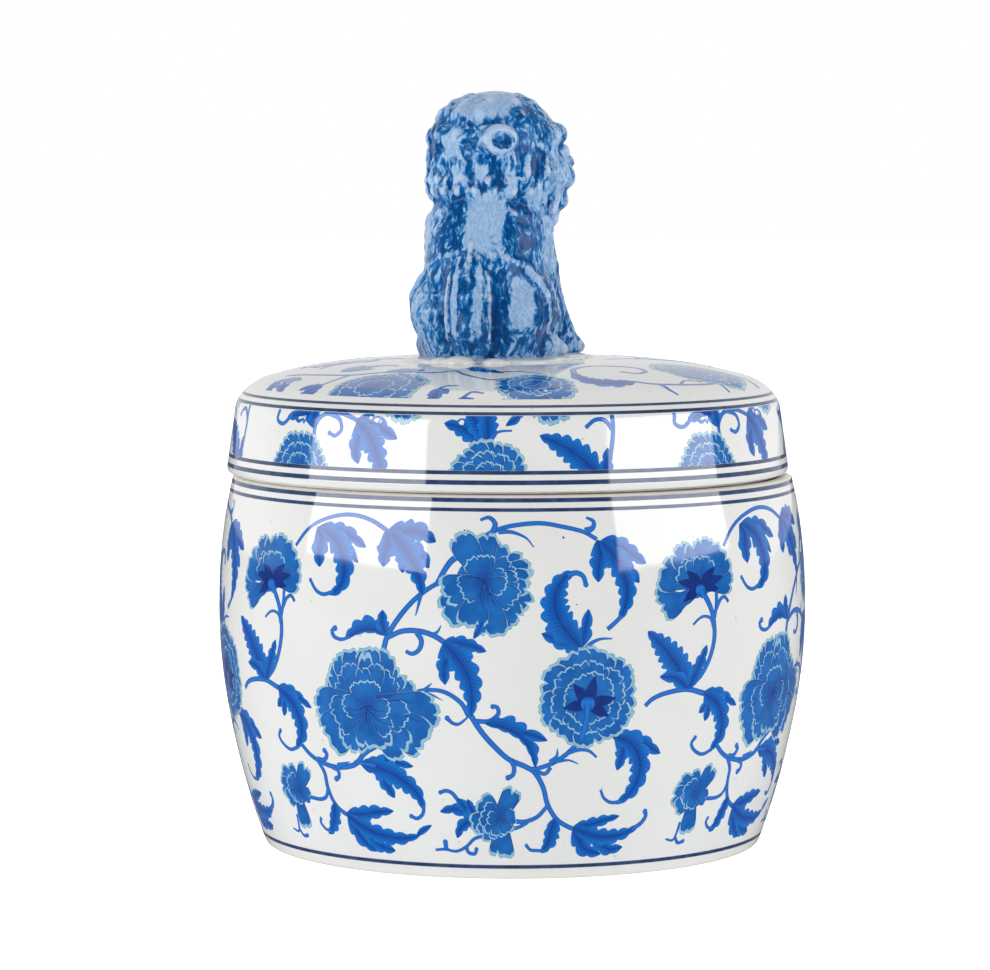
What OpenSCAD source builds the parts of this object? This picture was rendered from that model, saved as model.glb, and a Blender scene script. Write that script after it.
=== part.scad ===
// Round lidded trinket jar in glazed porcelain, with a seated guardian lion as the lid's finial.
// Millimetres, +Z up. The origin is the centre of the circle that the foot ring rests on.

/* [Jar] */
// Height of the jar without its lid
jar_h = 112; // [100:1:124]
// Diameter at the widest place
belly_d = 178; // [172:1:184]
// Height of the widest place
belly_z = 70; // [60:1:78]
// Diameter at the foot
foot_d = 150; // [142:1:156]
// Diameter at the rim
rim_d = 169; // [168:0.5:171]
// Thickness of the wall
wall = 4.5; // [4:0.5:5]
// Thickness of the floor
floor_t = 4; // [3:0.5:6]

/* [Lid] */
// Height of the lid's flat top above the jar's rim
lid_h = 34.7; // [32:0.1:40]
// Diameter at the lid's lower lip
lip_d = 170.5; // [169:0.5:172]
// Diameter at the upper end of the lid's side band
shoulder_d = 165; // [162:0.5:167]
// Height of the side band above the jar's rim
band_h = 20; // [18:0.5:21]
// Thickness of the lid
lid_t = 4; // [3:0.5:4.5]
// Radial play of the locating flange in the jar's mouth
mouth_play = 2; // [1.8:0.1:2.6]
// How far the locating flange reaches down into the mouth
flange_h = 9; // [6:0.5:12]
// How far the loose lid sits to one side in its play
lid_shift = 1.4; // [0:0.1:1.5]

/* [Finial] */
// Height of the lion above the lid's flat top
lion_h = 81.2; // [70:0.1:90]
// Turn of the lion's body to the right, degrees
lion_turn = 14; // [0:1:60]
// Further turn of the lion's head, degrees
head_turn = 56; // [0:1:70]
// Height of the glaze pad that the lion stands on
pad_h = 0.8; // [0.5:0.1:2]

/* [Hidden] */
$fn = 96;

// Jar profile
belly_r = belly_d / 2;
foot_r = foot_d / 2;
rim_r = rim_d / 2;
low_power = 1.8;
high_power = 2.3;
wall_steps = 16;
foot_ring_t = 6;
foot_recess = 2.5;
floor_z = foot_recess + floor_t;
floor_bend = 14;
edge_r = 1.5;
mouth_r = rim_r - wall;

// Lid profile
flange_r = mouth_r - mouth_play;
flange_in_r = flange_r - lid_t;
seat_r = rim_r - 2.3;
lip_z = jar_h + 0.6;
lip_r = lip_d / 2;
shoulder_r = shoulder_d / 2;
shoulder_z = jar_h + band_h;
lid_top = jar_h + lid_h;
flat_r = 34;
dome_r = 74;
dome_drop = 5.5;
dome_power = 2.1;
lid_steps = 10;

// Lion, in its own frame: +Y is forward and its feet are on z = 0
lion_back = 3;
lion_left = 5.3;
drawn_h = 79.2;
size_k = (lion_h - pad_h) / drawn_h;
blob_fn = 20;
curl_fn = 12;
head_right = 3.2;
head_front = 4.8;
neck_z = 45;
space = 60;
// Blobs [x, y, z, radius]
trunk = [[0, -8, 15, 18], [0, -6, 24, 17.8], [0, -2, 34, 17.4], [0, 1, 44, 16.4]];
chest = [[0, 4, 28, 12], [0, 8, 38, 12], [0, 6, 47, 12]];
flank = [[5, -14, 12, 11.5], [6.5, -3, 14, 10.5], [7, 2, 38, 9.5]];
thigh = [[9.6, -13, 11, 11.6], [11.8, -7, 15, 11.6], [13.6, 0.5, 11, 8.8]];
hind_foot = [[15, -6, 4.5, 6], [16, 0, 3.6, 4.8], [16.6, 3, 3.2, 4.4]];
arm = [[9.3, 6, 38, 7.8], [11.2, 11, 28, 5.9], [13.2, 15, 16, 5], [15.8, 21, 6.5, 5]];
paw = [[16, 21, 4.5, 5.2], [17, 24.5, 3.4, 4.6]];
// The left foreleg stands closer in than the right one
left_spread = 0.8;
// Discs of the pad [x, y, radius]: under the rump, the belly, the hind feet and the paws
pad_discs = [[0, -8, 19.5], [0, 9, 15], [16, 3, 9.5], [-16, 3, 9.5], [17, 24, 8.5], [-13.6, 24, 8.5]];

function bend(a, b, c, t) = a * (1 - t) * (1 - t) + b * 2 * t * (1 - t) + c * t * t;
function arc(a, b, c, n) = [for (i = [0 : n]) bend(a, b, c, i / n)];
function jar_r(z) = z < belly_z
    ? belly_r - (belly_r - foot_r) * pow((belly_z - z) / belly_z, low_power)
    : belly_r - (belly_r - rim_r) * pow((z - belly_z) / (jar_h - belly_z), high_power);
function dome_z(r) = lid_top - dome_drop * pow(max(0, r - flat_r) / (dome_r - flat_r), dome_power);

// Outer wall, bottom to top, with the widest place on a vertex
jar_outside = concat(
    arc([foot_r - edge_r, 0], [foot_r, 0], [jar_r(edge_r), edge_r], 3),
    [for (i = [1 : wall_steps]) let (z = edge_r + (belly_z - edge_r) * i / wall_steps) [jar_r(z), z]],
    [for (i = [1 : wall_steps]) let (z = belly_z + (jar_h - edge_r - belly_z) * i / wall_steps) [jar_r(z), z]],
    arc([jar_r(jar_h - edge_r), jar_h - edge_r], [rim_r, jar_h], [rim_r - edge_r, jar_h], 4));
jar_inside = concat(
    arc([mouth_r + 1, jar_h], [mouth_r, jar_h], [mouth_r, jar_h - 1], 3),
    [for (i = [1 : wall_steps])
        let (z = jar_h - 8 - (jar_h - 8 - floor_z - floor_bend) * i / wall_steps) [jar_r(z) - wall, z]],
    arc([jar_r(floor_z + floor_bend) - wall, floor_z + floor_bend], [jar_r(floor_z) - wall - 1, floor_z],
        [foot_r - floor_bend - wall, floor_z], 6),
    [[0, floor_z], [0, foot_recess], [foot_r - edge_r - foot_ring_t - 1, foot_recess],
     [foot_r - edge_r - foot_ring_t, 0]]);

module jar_body() {
    color("white")
        rotate_extrude($fn = 180)
            polygon(concat(jar_outside, jar_inside));
}

// The ring that keeps the lid centred in the jar's mouth
module lid_flange() {
    color("ivory")
        translate([-lid_shift, 0, jar_h - flange_h])
            rotate_extrude($fn = 180)
                polygon(concat(
                    [[flange_in_r, flange_h], [flange_in_r, 1.5]],
                    arc([flange_in_r, 1.5], [flange_in_r, 0], [flange_in_r + 1.5, 0], 3),
                    arc([flange_r - 1.5, 0], [flange_r, 0], [flange_r, 1.5], 3),
                    [[flange_r, flange_h]]));
}

lid_outside = concat(
    [[seat_r, jar_h], [seat_r + 0.4, lip_z]],
    arc([lip_r - 2, lip_z], [lip_r, lip_z], [lip_r, lip_z + 2.6], 4),
    arc([shoulder_r, shoulder_z], [lip_r - 3.7, lid_top - 8.9], [dome_r, dome_z(dome_r)], 8),
    [for (i = [1 : lid_steps]) let (r = dome_r + (flat_r - dome_r) * i / lid_steps) [r, dome_z(r)]]);
lid_inside = concat(
    [[0, lid_top], [0, lid_top - lid_t]],
    [for (i = [lid_steps : -1 : 1])
        let (r = dome_r - lid_t + (flat_r - dome_r) * i / lid_steps) [r, dome_z(r) - lid_t]],
    arc([dome_r - lid_t, dome_z(dome_r - lid_t) - lid_t], [shoulder_r - lid_t - 1, shoulder_z + 2],
        [shoulder_r - lid_t - 0.5, shoulder_z - 4], 5),
    arc([shoulder_r - lid_t - 0.5, jar_h + 11], [shoulder_r - lid_t - 0.5, jar_h + 5], [flange_in_r, jar_h + 3], 5),
    [[flange_in_r, jar_h]]);

module lid_dome() {
    color("white")
        translate([-lid_shift, 0, 0])
            rotate_extrude($fn = 180)
                polygon(concat(lid_outside, lid_inside));
}

// Carries the lion's own frame onto the lid's flat top
module on_lid() {
    translate([-lid_shift - lion_left, -lion_back, lid_top])
        rotate([0, 0, -lion_turn])
            children();
}

// The puddle of glaze and slip that holds the lion
module finial_pad() {
    color("whitesmoke")
        on_lid()
            for (disc = pad_discs)
                translate([disc[0], disc[1], 0])
                    cylinder(r = disc[2], h = pad_h);
}

module on_pad() {
    color("cornflowerblue")
        on_lid()
            translate([0, 0, pad_h])
                scale(size_k)
                    children();
}

// Blobs joined one to the next, mirrored to the other side where side = -1
module limb(points, side = 1) {
    for (i = [1 : len(points) - 1])
        hull()
            for (p = [points[i - 1], points[i]])
                translate([side * p[0], p[1], p[2]])
                    sphere(r = p[3], $fn = blob_fn);
}

module below(z) {
    translate([-space, -space, z - space])
        cube([2 * space, 2 * space, space]);
}

module above(z) {
    translate([-space, -space, z])
        cube([2 * space, 2 * space, space]);
}

module toes(x, y, side) {
    for (toe = [-1 : 1])
        limb([[x + toe * 3, y, 2.8, 2.6], [x + toe * 3.4, y + 4, 2.2, 2.2]], side);
}

module trunk_shape() {
    limb(trunk);
    limb(chest);
    for (side = [-1, 1])
        limb(flank, side);
}

module lion_torso() {
    on_pad()
        difference() {
            trunk_shape();
            below(0);
            above(neck_z);
        }
}

// Hind leg: side is -1 for the left one and 1 for the right one
module hindleg(side) {
    on_pad()
        difference() {
            union() {
                limb(thigh, side);
                limb(hind_foot, side);
                toes(17, 4, side);
            }
            below(0);
            trunk_shape();
        }
}

module foreleg(side) {
    reach = side > 0 ? side : side * left_spread;
    on_pad()
        difference() {
            union() {
                limb(arm, reach);
                limb(paw, reach);
                toes(17, 25, reach);
            }
            below(0);
            above(neck_z);
            trunk_shape();
            limb(hind_foot, side);
            limb(thigh, side);
        }
}

// Upright tail of five locks laid against the back
module lion_tail() {
    on_pad()
        difference() {
            for (lock = [-2 : 2])
                limb([[lock * 2.4, -26, 5, 4.5], [lock * 3, -25.5 + abs(lock) * 0.6, 16, 3.6],
                      [lock * 2.6, -22.6 + abs(lock) * 0.6, 33 - abs(lock) * 3, 2]]);
            below(0);
            trunk_shape();
            for (side = [-1, 1]) {
                limb(thigh, side);
                limb(hind_foot, side);
            }
        }
}

module mane_curl(turn, reach, z, r) {
    translate([reach * sin(turn), reach * cos(turn) - 3, z])
        sphere(r = r, $fn = curl_fn);
}

// Head and mane. The face looks along +Y of the head's own frame
module lion_head() {
    on_pad()
        difference() {
            translate([head_right, head_front, 0])
                rotate([0, 0, -head_turn]) {
                    limb([[0, -3, 50, 17.5], [0, -2.8, 58, 18.6], [0, -2.6, 62, 17.2]]);
                    limb([[0, 6, 56.5, 11], [0, 12, 55, 9], [0, 17.6, 57, 4.4]]);
                    limb([[0, 10, 48.5, 6.5], [0, 13.6, 46.5, 4.5], [0, 14, 42.5, 2.5]]);
                    for (side = [-1, 1]) {
                        limb([[2.4, 16, 62.4, 2.6], [7.4, 15, 64.2, 3], [12.4, 10.8, 63.6, 2.6]], side);
                        limb([[17.4, -6, 64.4, 3.6], [17.4, -10, 64.4, 3.6]], side);
                    }
                    for (curl = [0 : 6]) {
                        mane_curl(60 + curl * 40, 15.4, 48.6, 4.6);
                        mane_curl(60 + curl * 40, 14.6, 64, 4.4);
                        mane_curl(80 + curl * 33, 16, 56, 4.5);
                    }
                }
            below(neck_z);
        }
}

jar_body();
lid_flange();
lid_dome();
finial_pad();
lion_torso();
lion_head();
lion_tail();
foreleg(-1);  // lion_foreleg_left
foreleg(1);  // lion_foreleg_right
hindleg(-1);  // lion_hindleg_left
hindleg(1);  // lion_hindleg_right
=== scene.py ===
"""Lidded blue-and-white porcelain jar with a guardian-lion finial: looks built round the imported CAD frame."""

import math

import bpy
import numpy as np
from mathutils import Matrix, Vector
from mathutils.geometry import delaunay_2d_cdt


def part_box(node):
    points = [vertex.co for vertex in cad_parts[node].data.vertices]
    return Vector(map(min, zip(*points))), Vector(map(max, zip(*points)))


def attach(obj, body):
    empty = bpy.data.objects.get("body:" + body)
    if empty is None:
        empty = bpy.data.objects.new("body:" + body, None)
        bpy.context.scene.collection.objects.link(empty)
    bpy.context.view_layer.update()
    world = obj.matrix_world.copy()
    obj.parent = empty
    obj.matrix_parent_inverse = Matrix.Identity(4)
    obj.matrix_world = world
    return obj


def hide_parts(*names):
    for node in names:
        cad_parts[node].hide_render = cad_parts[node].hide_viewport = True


MM = 0.001
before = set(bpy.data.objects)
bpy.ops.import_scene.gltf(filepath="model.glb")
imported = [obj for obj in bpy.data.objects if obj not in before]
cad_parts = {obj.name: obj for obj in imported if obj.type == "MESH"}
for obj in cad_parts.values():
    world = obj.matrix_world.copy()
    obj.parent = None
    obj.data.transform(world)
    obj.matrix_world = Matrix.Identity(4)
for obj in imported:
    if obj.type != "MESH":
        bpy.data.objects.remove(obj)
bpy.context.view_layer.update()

# ---- drawing: flat shapes in millimetres, painted from back to front ----

LEAF, PETAL, PALE, DARK, HALO = range(5)
STEM_STYLE, LEAF_STYLE, PETAL_STYLE, PLAIN_STYLE = 0.0, 1.0, 2.0, 3.0
STEM_STEP = 0.9
LOBE_STEP = 0.5
HAIRLINE = 0.3
TOOTH_PITCH = 3.2
TOOTH_LEAN = 0.5     # how far a leaf's teeth point towards its tip
SIDE_LINE = 0.17     # half the dark line between two petals


def spline(points, step):
    """Smooth curve through the points: positions, left-hand normals and lengths along it."""
    p = np.asarray(points, float)
    p = np.vstack([2 * p[0] - p[1], p, 2 * p[-1] - p[-2]])
    out = [p[1]]
    for a, b, c, d in zip(p[:-3], p[1:-2], p[2:-1], p[3:]):
        count = max(2, int(math.ceil(np.linalg.norm(c - b) / step)))
        for i in range(1, count + 1):
            t = i / count
            out.append(0.5 * (2 * b + (c - a) * t + (2 * a - 5 * b + 4 * c - d) * t * t
                              + (3 * b - a - 3 * c + d) * t ** 3))
    at = np.array(out)
    way = np.gradient(at, axis=0)
    way /= np.linalg.norm(way, axis=1)[:, None]
    run = np.concatenate([[0], np.cumsum(np.linalg.norm(np.diff(at, axis=0), axis=1))])
    return at, np.stack([-way[:, 1], way[:, 0]], 1), run


class Drawing:
    """A list of painted patches. Each has its class, its outline and the rule for its tones."""

    def __init__(self):
        self.patches = []
        self.turn = np.eye(2)

    def turned(self, degrees):
        """Turns the shapes that follow about the middle of the sheet."""
        a = math.radians(degrees)
        self.turn = np.array([[math.cos(a), math.sin(a)], [-math.sin(a), math.cos(a)]])

    def put(self, p):
        """Points of the shape being drawn, on the sheet."""
        return np.asarray(p, float) @ self.turn

    def patch(self, kind, outline, tone):
        """Adds one outline, counter-clockwise. A four-sided one is untwisted, and a sliver is left out."""
        if len(outline) == 4:
            spoke = outline - outline.mean(axis=0)
            outline = outline[np.argsort(np.arctan2(spoke[:, 1], spoke[:, 0]))]
        x, y = outline[:, 0], outline[:, 1]
        area = np.sum(x * np.roll(y, -1) - y * np.roll(x, -1))
        if abs(area) > 0.004:
            self.patches.append((kind, outline if area > 0 else outline[::-1], tone))

    def stem(self, w0, w1, *points, kind=LEAF, knob=False):
        """A line of width w0 to w1, with a rounded end where knob is true."""
        at, side, run = spline(self.put(points), STEM_STEP)
        half = (w0 + (w1 - w0) * run / run[-1]) / 2
        for i in range(len(at) - 1):
            j = i + 1
            a = (at[j] - at[i]) / max(run[j] - run[i], 1e-6)
            outline = np.array([at[i] - side[i] * half[i], at[j] - side[j] * half[j],
                                at[j] + side[j] * half[j], at[i] + side[i] * half[i]])
            across = np.array([-a[1], a[0]]) / half[i]
            self.patch(kind, outline, (0, *at[i], *a, *across, run[i], 0.0, 1 / run[-1], STEM_STYLE))
        if knob:
            r = half[-1] * 1.25
            turn = np.linspace(0, 2 * math.pi, 11)[:-1]
            ring = at[-1] + r * np.stack([np.cos(turn), np.sin(turn)], 1)
            self.patch(kind, ring, (0, *at[-1], 0.1, 0, 0, 1 / r, run[-1], 0.0, 1 / run[-1], STEM_STYLE))

    def lobe(self, left, right, *points, teeth=None):
        """A leaf lobe along a midrib, with rounded teeth. left and right are its half widths."""
        at, side, run = spline(self.put(points), LOBE_STEP)
        u = run / run[-1]
        count = teeth or max(2, round(run[-1] / TOOTH_PITCH))
        swell = np.minimum(1, (u / 0.24) ** 0.65) * (1 - np.clip((u - 0.24) / 0.76, 0, 1) ** 2.1) ** 0.8
        bite = 0.64 + 0.42 * np.abs(np.sin(math.pi * np.mod(u * count, 1) ** 1.25)) ** 0.6
        for half, sign in ((left, 1), (right, -1)):
            smooth = 1.06 * half * swell + 0.18
            ahead = np.stack([side[:, 1], -side[:, 0]], 1) * (TOOTH_LEAN * (1 - u) * np.minimum(1, 4 * u))[:, None]
            edge = at + (side * sign + ahead) * (smooth * bite)[:, None]
            for i in range(len(at) - 1):
                j = i + 1
                a = (at[j] - at[i]) / max(run[j] - run[i], 1e-6)
                across = np.array([-a[1], a[0]]) / smooth[i]
                self.patch(LEAF, np.array([at[i], at[j], edge[j], edge[i]]),
                           (0, *at[i], *a, *across, run[i], 0.0, 1 / run[-1], LEAF_STYLE))

    def petal(self, x, y, degrees, length, spread, band=0.8, hair=False, pitch=2.3, root=None):
        """A fan-shaped petal from a heart at x, y, with a scalloped pale band, and a halo round it where hair is
        true.
        """
        heart = self.put((x, y))
        a0 = math.radians(degrees)
        ahead = np.array([math.cos(a0), math.sin(a0)]) @ self.turn
        left = np.array([-ahead[1], ahead[0]])
        spread = math.radians(spread)
        root = 0.13 * length if root is None else root
        lobes = max(2, round(2 * (spread * length + root) / (1.55 * pitch)))
        k = np.linspace(-1, 1, lobes * 8 + 1)
        phase = 7.3 * x + 3.1 * y + 0.11 * degrees
        t = lobes * (k + 1) / 2
        wave = np.abs(np.sin(math.pi * t)) ** 0.75
        frill = np.abs(np.sin(math.pi * (1.9 * t + 0.2 * math.sin(phase)))) ** 0.8
        depth = min(0.09 * length, 1.0) * (1 + 0.6 * np.sin(2.4 * np.floor(t) + phase))
        swell = 0.03 * length * np.sin(1.7 * k * lobes / 2 + phase)
        reach = length * (1.02 - 0.16 * np.abs(k) ** 3.5) + swell + depth * (wave - 1) + 0.42 * (frill - 1)
        band *= 0.85
        rings = [(PALE, 0.0, 0.0), (DARK, -band, -0.02), (PETAL, -band, -SIDE_LINE)]
        if hair:
            rings.insert(0, (HALO, HAIRLINE, 0.02))
        for kind, grow, widen in rings:
            r = np.maximum(reach + grow, 0.3)[:, None]
            a = (k * max(spread + widen / length, 0.03))[:, None]
            foot = heart + left * (k * max(root + widen, 0.1))[:, None]
            fan = foot + (np.cos(a) * ahead + np.sin(a) * left) * r
            tone = (1, *heart, *ahead, *left, 0.0, spread + root / length, 1 / length,
                    PETAL_STYLE if kind == PETAL else PLAIN_STYLE)
            self.patch(kind, np.vstack([foot[:1], fan, foot[-1:]]), tone)

    def petals(self, x, y, rows, **look):
        """Petals round one heart. Each row has a direction in degrees, a length, and half the spread in degrees."""
        for row in rows:
            self.petal(x, y, *row, **look)

    def bed(self, x, y, rx, ry):
        """A plain oval under a flower, so that no wall shows between its petals."""
        turn = np.linspace(0, 2 * math.pi, 33)[:-1]
        oval = self.put(np.stack([x + rx * np.cos(turn), y + ry * np.sin(turn)], 1))
        heart = self.put((x, y))
        self.patch(PETAL, oval, (1, *heart, 1, 0, 0, 1, 0.0, math.pi, 1 / rx, PETAL_STYLE))

    def sepal(self, x, y, degrees, length, half):
        """A dark pointed leaf of the flower's calyx."""
        a = math.radians(degrees)
        tip = (x + length * math.cos(a), y + length * math.sin(a))
        at, side, run = spline(self.put(((x, y), ((x + tip[0]) / 2, (y + tip[1]) / 2), tip)), 1.2)
        width = half * np.sin(math.pi * np.clip(run / run[-1], 0.02, 0.995) ** 0.8) + 0.12
        outline = np.vstack([at + side * width[:, None], (at - side * width[:, None])[::-1]])
        way = (at[-1] - at[0]) / run[-1]
        self.patch(DARK, outline, (0, *at[0], *way, -way[1] / half, way[0] / half, 0.0, 0.0,
                                   1 / run[-1], LEAF_STYLE))

    def disc(self, x, y, r, kind=LEAF):
        """A round spot."""
        c = self.put((x, y))
        turn = np.linspace(0, 2 * math.pi, 17)[:-1]
        self.patch(kind, c + r * np.stack([np.cos(turn), np.sin(turn)], 1),
                   (0, *c, 0.2, 0, 0, 1 / r, 0.0, 0.0, 0.2, STEM_STYLE))

    def crease(self, *points):
        """A fine dark fold line."""
        self.stem(0.34, 0.12, *points, kind=DARK)


# ---- the motif that goes four times round the jar: x round the wall from the front, y up ----

def top_vines(d):
    d.stem(1.0, 1.3, (-71, 95.5), (-67, 100), (-62, 103), (-55, 105), (-49, 105.3), (-43, 104), (-37, 101))
    d.stem(1.3, 1.2, (-8, 100.5), (-5, 102), (0, 103.4), (8, 104.1), (15, 103), (21, 101.5), (25, 99.3))
    d.stem(1.9, 0.8, (-5.6, 101.5), (-5, 104), (-6.8, 105.7), (-9, 105.1), knob=True)
    d.stem(2.0, 0.7, (21.5, 101.7), (23.8, 102.5), (24.2, 104.4), (22, 105.5))
    d.stem(1.4, 0.3, (-4, 101.7), (0, 101.6), (4, 100), (6.3, 97.3))


def flower_stems(d):
    d.stem(1.8, 1.3, (-81, 83.5), (-78.5, 80), (-76.7, 76), (-76, 70), (-77.5, 64), (-80.5, 59), (-84, 56))
    d.stem(1.3, 1.2, (-75, 84), (-75.2, 79), (-76, 75))
    d.stem(1.2, 1.0, (-75.3, 77.5), (-73.6, 80.2), (-71.7, 80.9), (-70.2, 79.3))
    d.stem(1.1, 0.7, (-76.3, 72), (-77.5, 75), (-80, 75.8), (-82, 75.2), (-84.2, 73.6))
    d.stem(1.7, 1.2, (-38, 67), (-36.6, 71.5), (-33, 77), (-28.5, 82), (-24, 85.5), (-19, 88), (-13, 88.7))
    d.stem(1.4, 1.9, (-22, 86.3), (-19.7, 90.5), (-17.5, 93.5), (-15.3, 94.8))
    d.stem(1.4, 0.3, (-26.3, 84.5), (-27.2, 80.5), (-28, 77.5))
    d.stem(1.5, 1.6, (-36.6, 71), (-32, 73), (-27, 73.2), (-22.5, 72), (-18.5, 69.6))
    d.stem(1.3, 0.3, (-24, 72.2), (-21.6, 73), (-20.4, 75))
    d.stem(1.7, 1.1, (-27.6, 72.8), (-26.2, 70.5), (-26.9, 67.9), (-29, 66.6), (-31, 67.3))
    d.stem(1.0, 1.5, (-31, 54.6), (-26, 56.2), (-20, 56), (-15, 53), (-12.6, 49))
    d.stem(1.1, 0.2, (-25.5, 56.4), (-23.2, 58.4))
    d.stem(1.1, 0.2, (-26.5, 55.7), (-23.5, 55), (-20.2, 53.4))
    d.stem(1.3, 1.7, (40, 51), (42.5, 53), (47, 54.4), (54, 55), (60, 53.5), (62, 53))


def main_stem(d):
    d.stem(1.7, 1.4, (-12.5, 50), (-9, 44.5), (-5, 40), (-1, 36.5), (4, 34.3), (7, 32.3), (9.5, 28),
           (11, 23), (14, 18.5), (18, 16), (21, 15))
    d.stem(1.4, 1.2, (-10.5, 47.6), (-6.6, 47.7), (-4, 49.8), (-4.4, 51.8), (-5.6, 51.9), knob=True)
    d.stem(0.5, 1.3, (-12.6, 49), (-15.5, 46.7), (-17.5, 46.9), (-19, 48.3), knob=True)
    d.stem(1.3, 1.4, (-0.6, 36.6), (0.6, 34), (0.2, 31.8), (-1.2, 31), knob=True)
    d.stem(1.2, 1.4, (11, 22.5), (8, 19.3), (4, 17.8), (0.5, 18))
    d.stem(1.0, 1.2, (5, 17.6), (2.5, 16.3), (-0.5, 15.4))
    d.stem(1.5, 1.3, (20.5, 42), (16.5, 38), (12.5, 35.4), (8, 33.8), (6, 33.6))
    d.stem(1.2, 1.2, (7.5, 32.8), (10, 32.1), (11.6, 34))
    d.stem(1.3, 0.7, (17, 38.3), (20, 39), (23, 38.6), (25.6, 36.6))
    d.stem(0.9, 0.3, (14, 35.7), (17, 36), (20, 34.8))
    d.stem(1.9, 0.2, (11.5, 35.4), (13.3, 37.2), (13.5, 39.6))


def low_stems(d):
    d.stem(1.4, 1.7, (-71, 37), (-68, 34.5), (-64, 32.7), (-58, 31.6), (-52, 32.4), (-49, 34), (-46.5, 37),
           (-44.5, 41.5))
    d.stem(2.0, 0.3, (-57, 32), (-54, 33), (-52.2, 33.6))
    d.stem(1.2, 2.2, (-48, 35), (-45.5, 37.2), (-42.4, 39.2))
    d.stem(1.4, 1.4, (-65, 33.5), (-62.2, 33.4), (-60.8, 35.2), (-61.6, 36.2), knob=True)
    d.stem(1.2, 1.4, (-59.5, 31.4), (-57.3, 30.6), (-57.2, 28.8), (-58.5, 28), knob=True)
    d.stem(1.4, 1.5, (-65, 32.8), (-63, 29.5), (-62.7, 25), (-61, 20.5), (-58, 18), (-54, 16.6))
    d.stem(1.1, 1.2, (-62.6, 25.5), (-64, 22.3), (-67, 21.1), (-72, 21.3))
    d.stem(1.1, 0.6, (-81.3, 15), (-81.9, 11.5), (-83, 9.6), (-86, 10.2))
    d.stem(1.0, 1.1, (-82.2, 10.6), (-80.5, 8.6), (-78.2, 8.9), knob=True)
    d.stem(1.1, 0.8, (-8, 13.6), (-12, 12.6), (-15, 10), (-18.5, 8.5), (-22, 9), (-25.5, 8.7))
    d.stem(1.2, 1.1, (-15, 10.3), (-14.4, 8.3), (-12.3, 7.9), (-11.7, 9.3), knob=True)
    d.stem(1.6, 1.4, (-21.8, 8.8), (-21.9, 11.2), knob=True)


def hanging_leaf_one(d):
    d.lobe(2.9, 3.2, (-62.5, 101.5), (-60.8, 98.4), (-61, 94.2), (-60.6, 89.9), teeth=3)
    d.lobe(2.4, 2.7, (-62, 101.4), (-57, 100.6), (-51, 99.9), (-44.4, 96.4), teeth=4)
    d.lobe(1.5, 1.6, (-54, 98.3), (-50.3, 95.4), (-46.8, 91.9), teeth=1)
    d.lobe(3.4, 3.3, (-61, 101.2), (-55.5, 98.2), (-52.2, 93.5), (-51.4, 88.6), (-53, 84.4), (-56.5, 82.2), teeth=6)
    d.stem(1.2, 1.0, (-55, 83.2), (-58.8, 82.2), (-61.7, 83.3), (-63.9, 86), knob=True)


def hanging_leaf_two(d):
    d.lobe(2.8, 3.1, (-38, 101.6), (-37, 98.3), (-38, 94.5), (-38.4, 91.1), teeth=3)
    d.lobe(3.2, 3.0, (-37.4, 101.4), (-32, 101.2), (-27.5, 101.2), (-22.4, 98.6), teeth=4)
    d.lobe(2.2, 2.0, (-34, 98.6), (-32.6, 94), (-32.2, 89.6), teeth=3)
    d.lobe(2.6, 2.2, (-32, 96.8), (-27.6, 95), (-24.2, 91.2), teeth=2)
    d.lobe(3.4, 3.2, (-37, 101.4), (-33, 97.8), (-29.5, 93.4), (-27.3, 88.6), (-26, 83.5), teeth=6)


def drooping_leaf(d):
    d.lobe(2.6, 2.8, (25.2, 99.2), (25.9, 95.3), (25.2, 91.5), (25, 87.2), teeth=3)
    d.lobe(2.6, 2.9, (26, 98.8), (31, 97.5), (35, 95.4), (40, 92), teeth=4)
    d.lobe(1.8, 2.0, (31.5, 93), (35.2, 89.8), (37.6, 86.6), teeth=2)
    d.lobe(3.2, 3.2, (26, 98.8), (29.6, 95.2), (32.6, 89.8), (33.8, 84.5), (33, 80), (31.2, 76.2), teeth=7)
    d.stem(1.3, 1.3, (32, 77.4), (30, 75.6), (27.6, 73.7))


def feather_leaf(d):
    d.lobe(2.4, 2.4, (20.4, 68.4), (16, 70), (12.6, 71.2), (8.4, 72.9), teeth=3)
    d.lobe(1.7, 2.0, (20, 68.8), (20.6, 72.4), (21.4, 76), (22, 79.6), teeth=2)
    d.lobe(4.2, 4.0, (20, 68.6), (16, 73), (13.2, 77.2), (12.2, 81.4), (13, 85.6), (15.2, 88.8), (18, 90.1),
           teeth=8)
    d.stem(1.6, 1.3, (16, 89.4), (18.6, 90), (20.6, 88.9), (21.3, 86.6), knob=True)
    d.stem(1.5, 0.4, (20.8, 67.5), (22.5, 69.7), (25.5, 71), (29, 71))


def branch_leaf(d):
    d.lobe(1.9, 2.3, (-20, 70), (-15, 70.1), (-11.5, 69.4), (-7.4, 67.8), teeth=4)
    d.lobe(2.4, 2.4, (-19.6, 70), (-18.8, 66), (-19.6, 62.3), (-19.4, 58), teeth=3)
    d.lobe(3.6, 3.4, (-20, 70.2), (-15.8, 66), (-12.9, 61), (-11.6, 55.8), (-12, 49), teeth=6)


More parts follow.
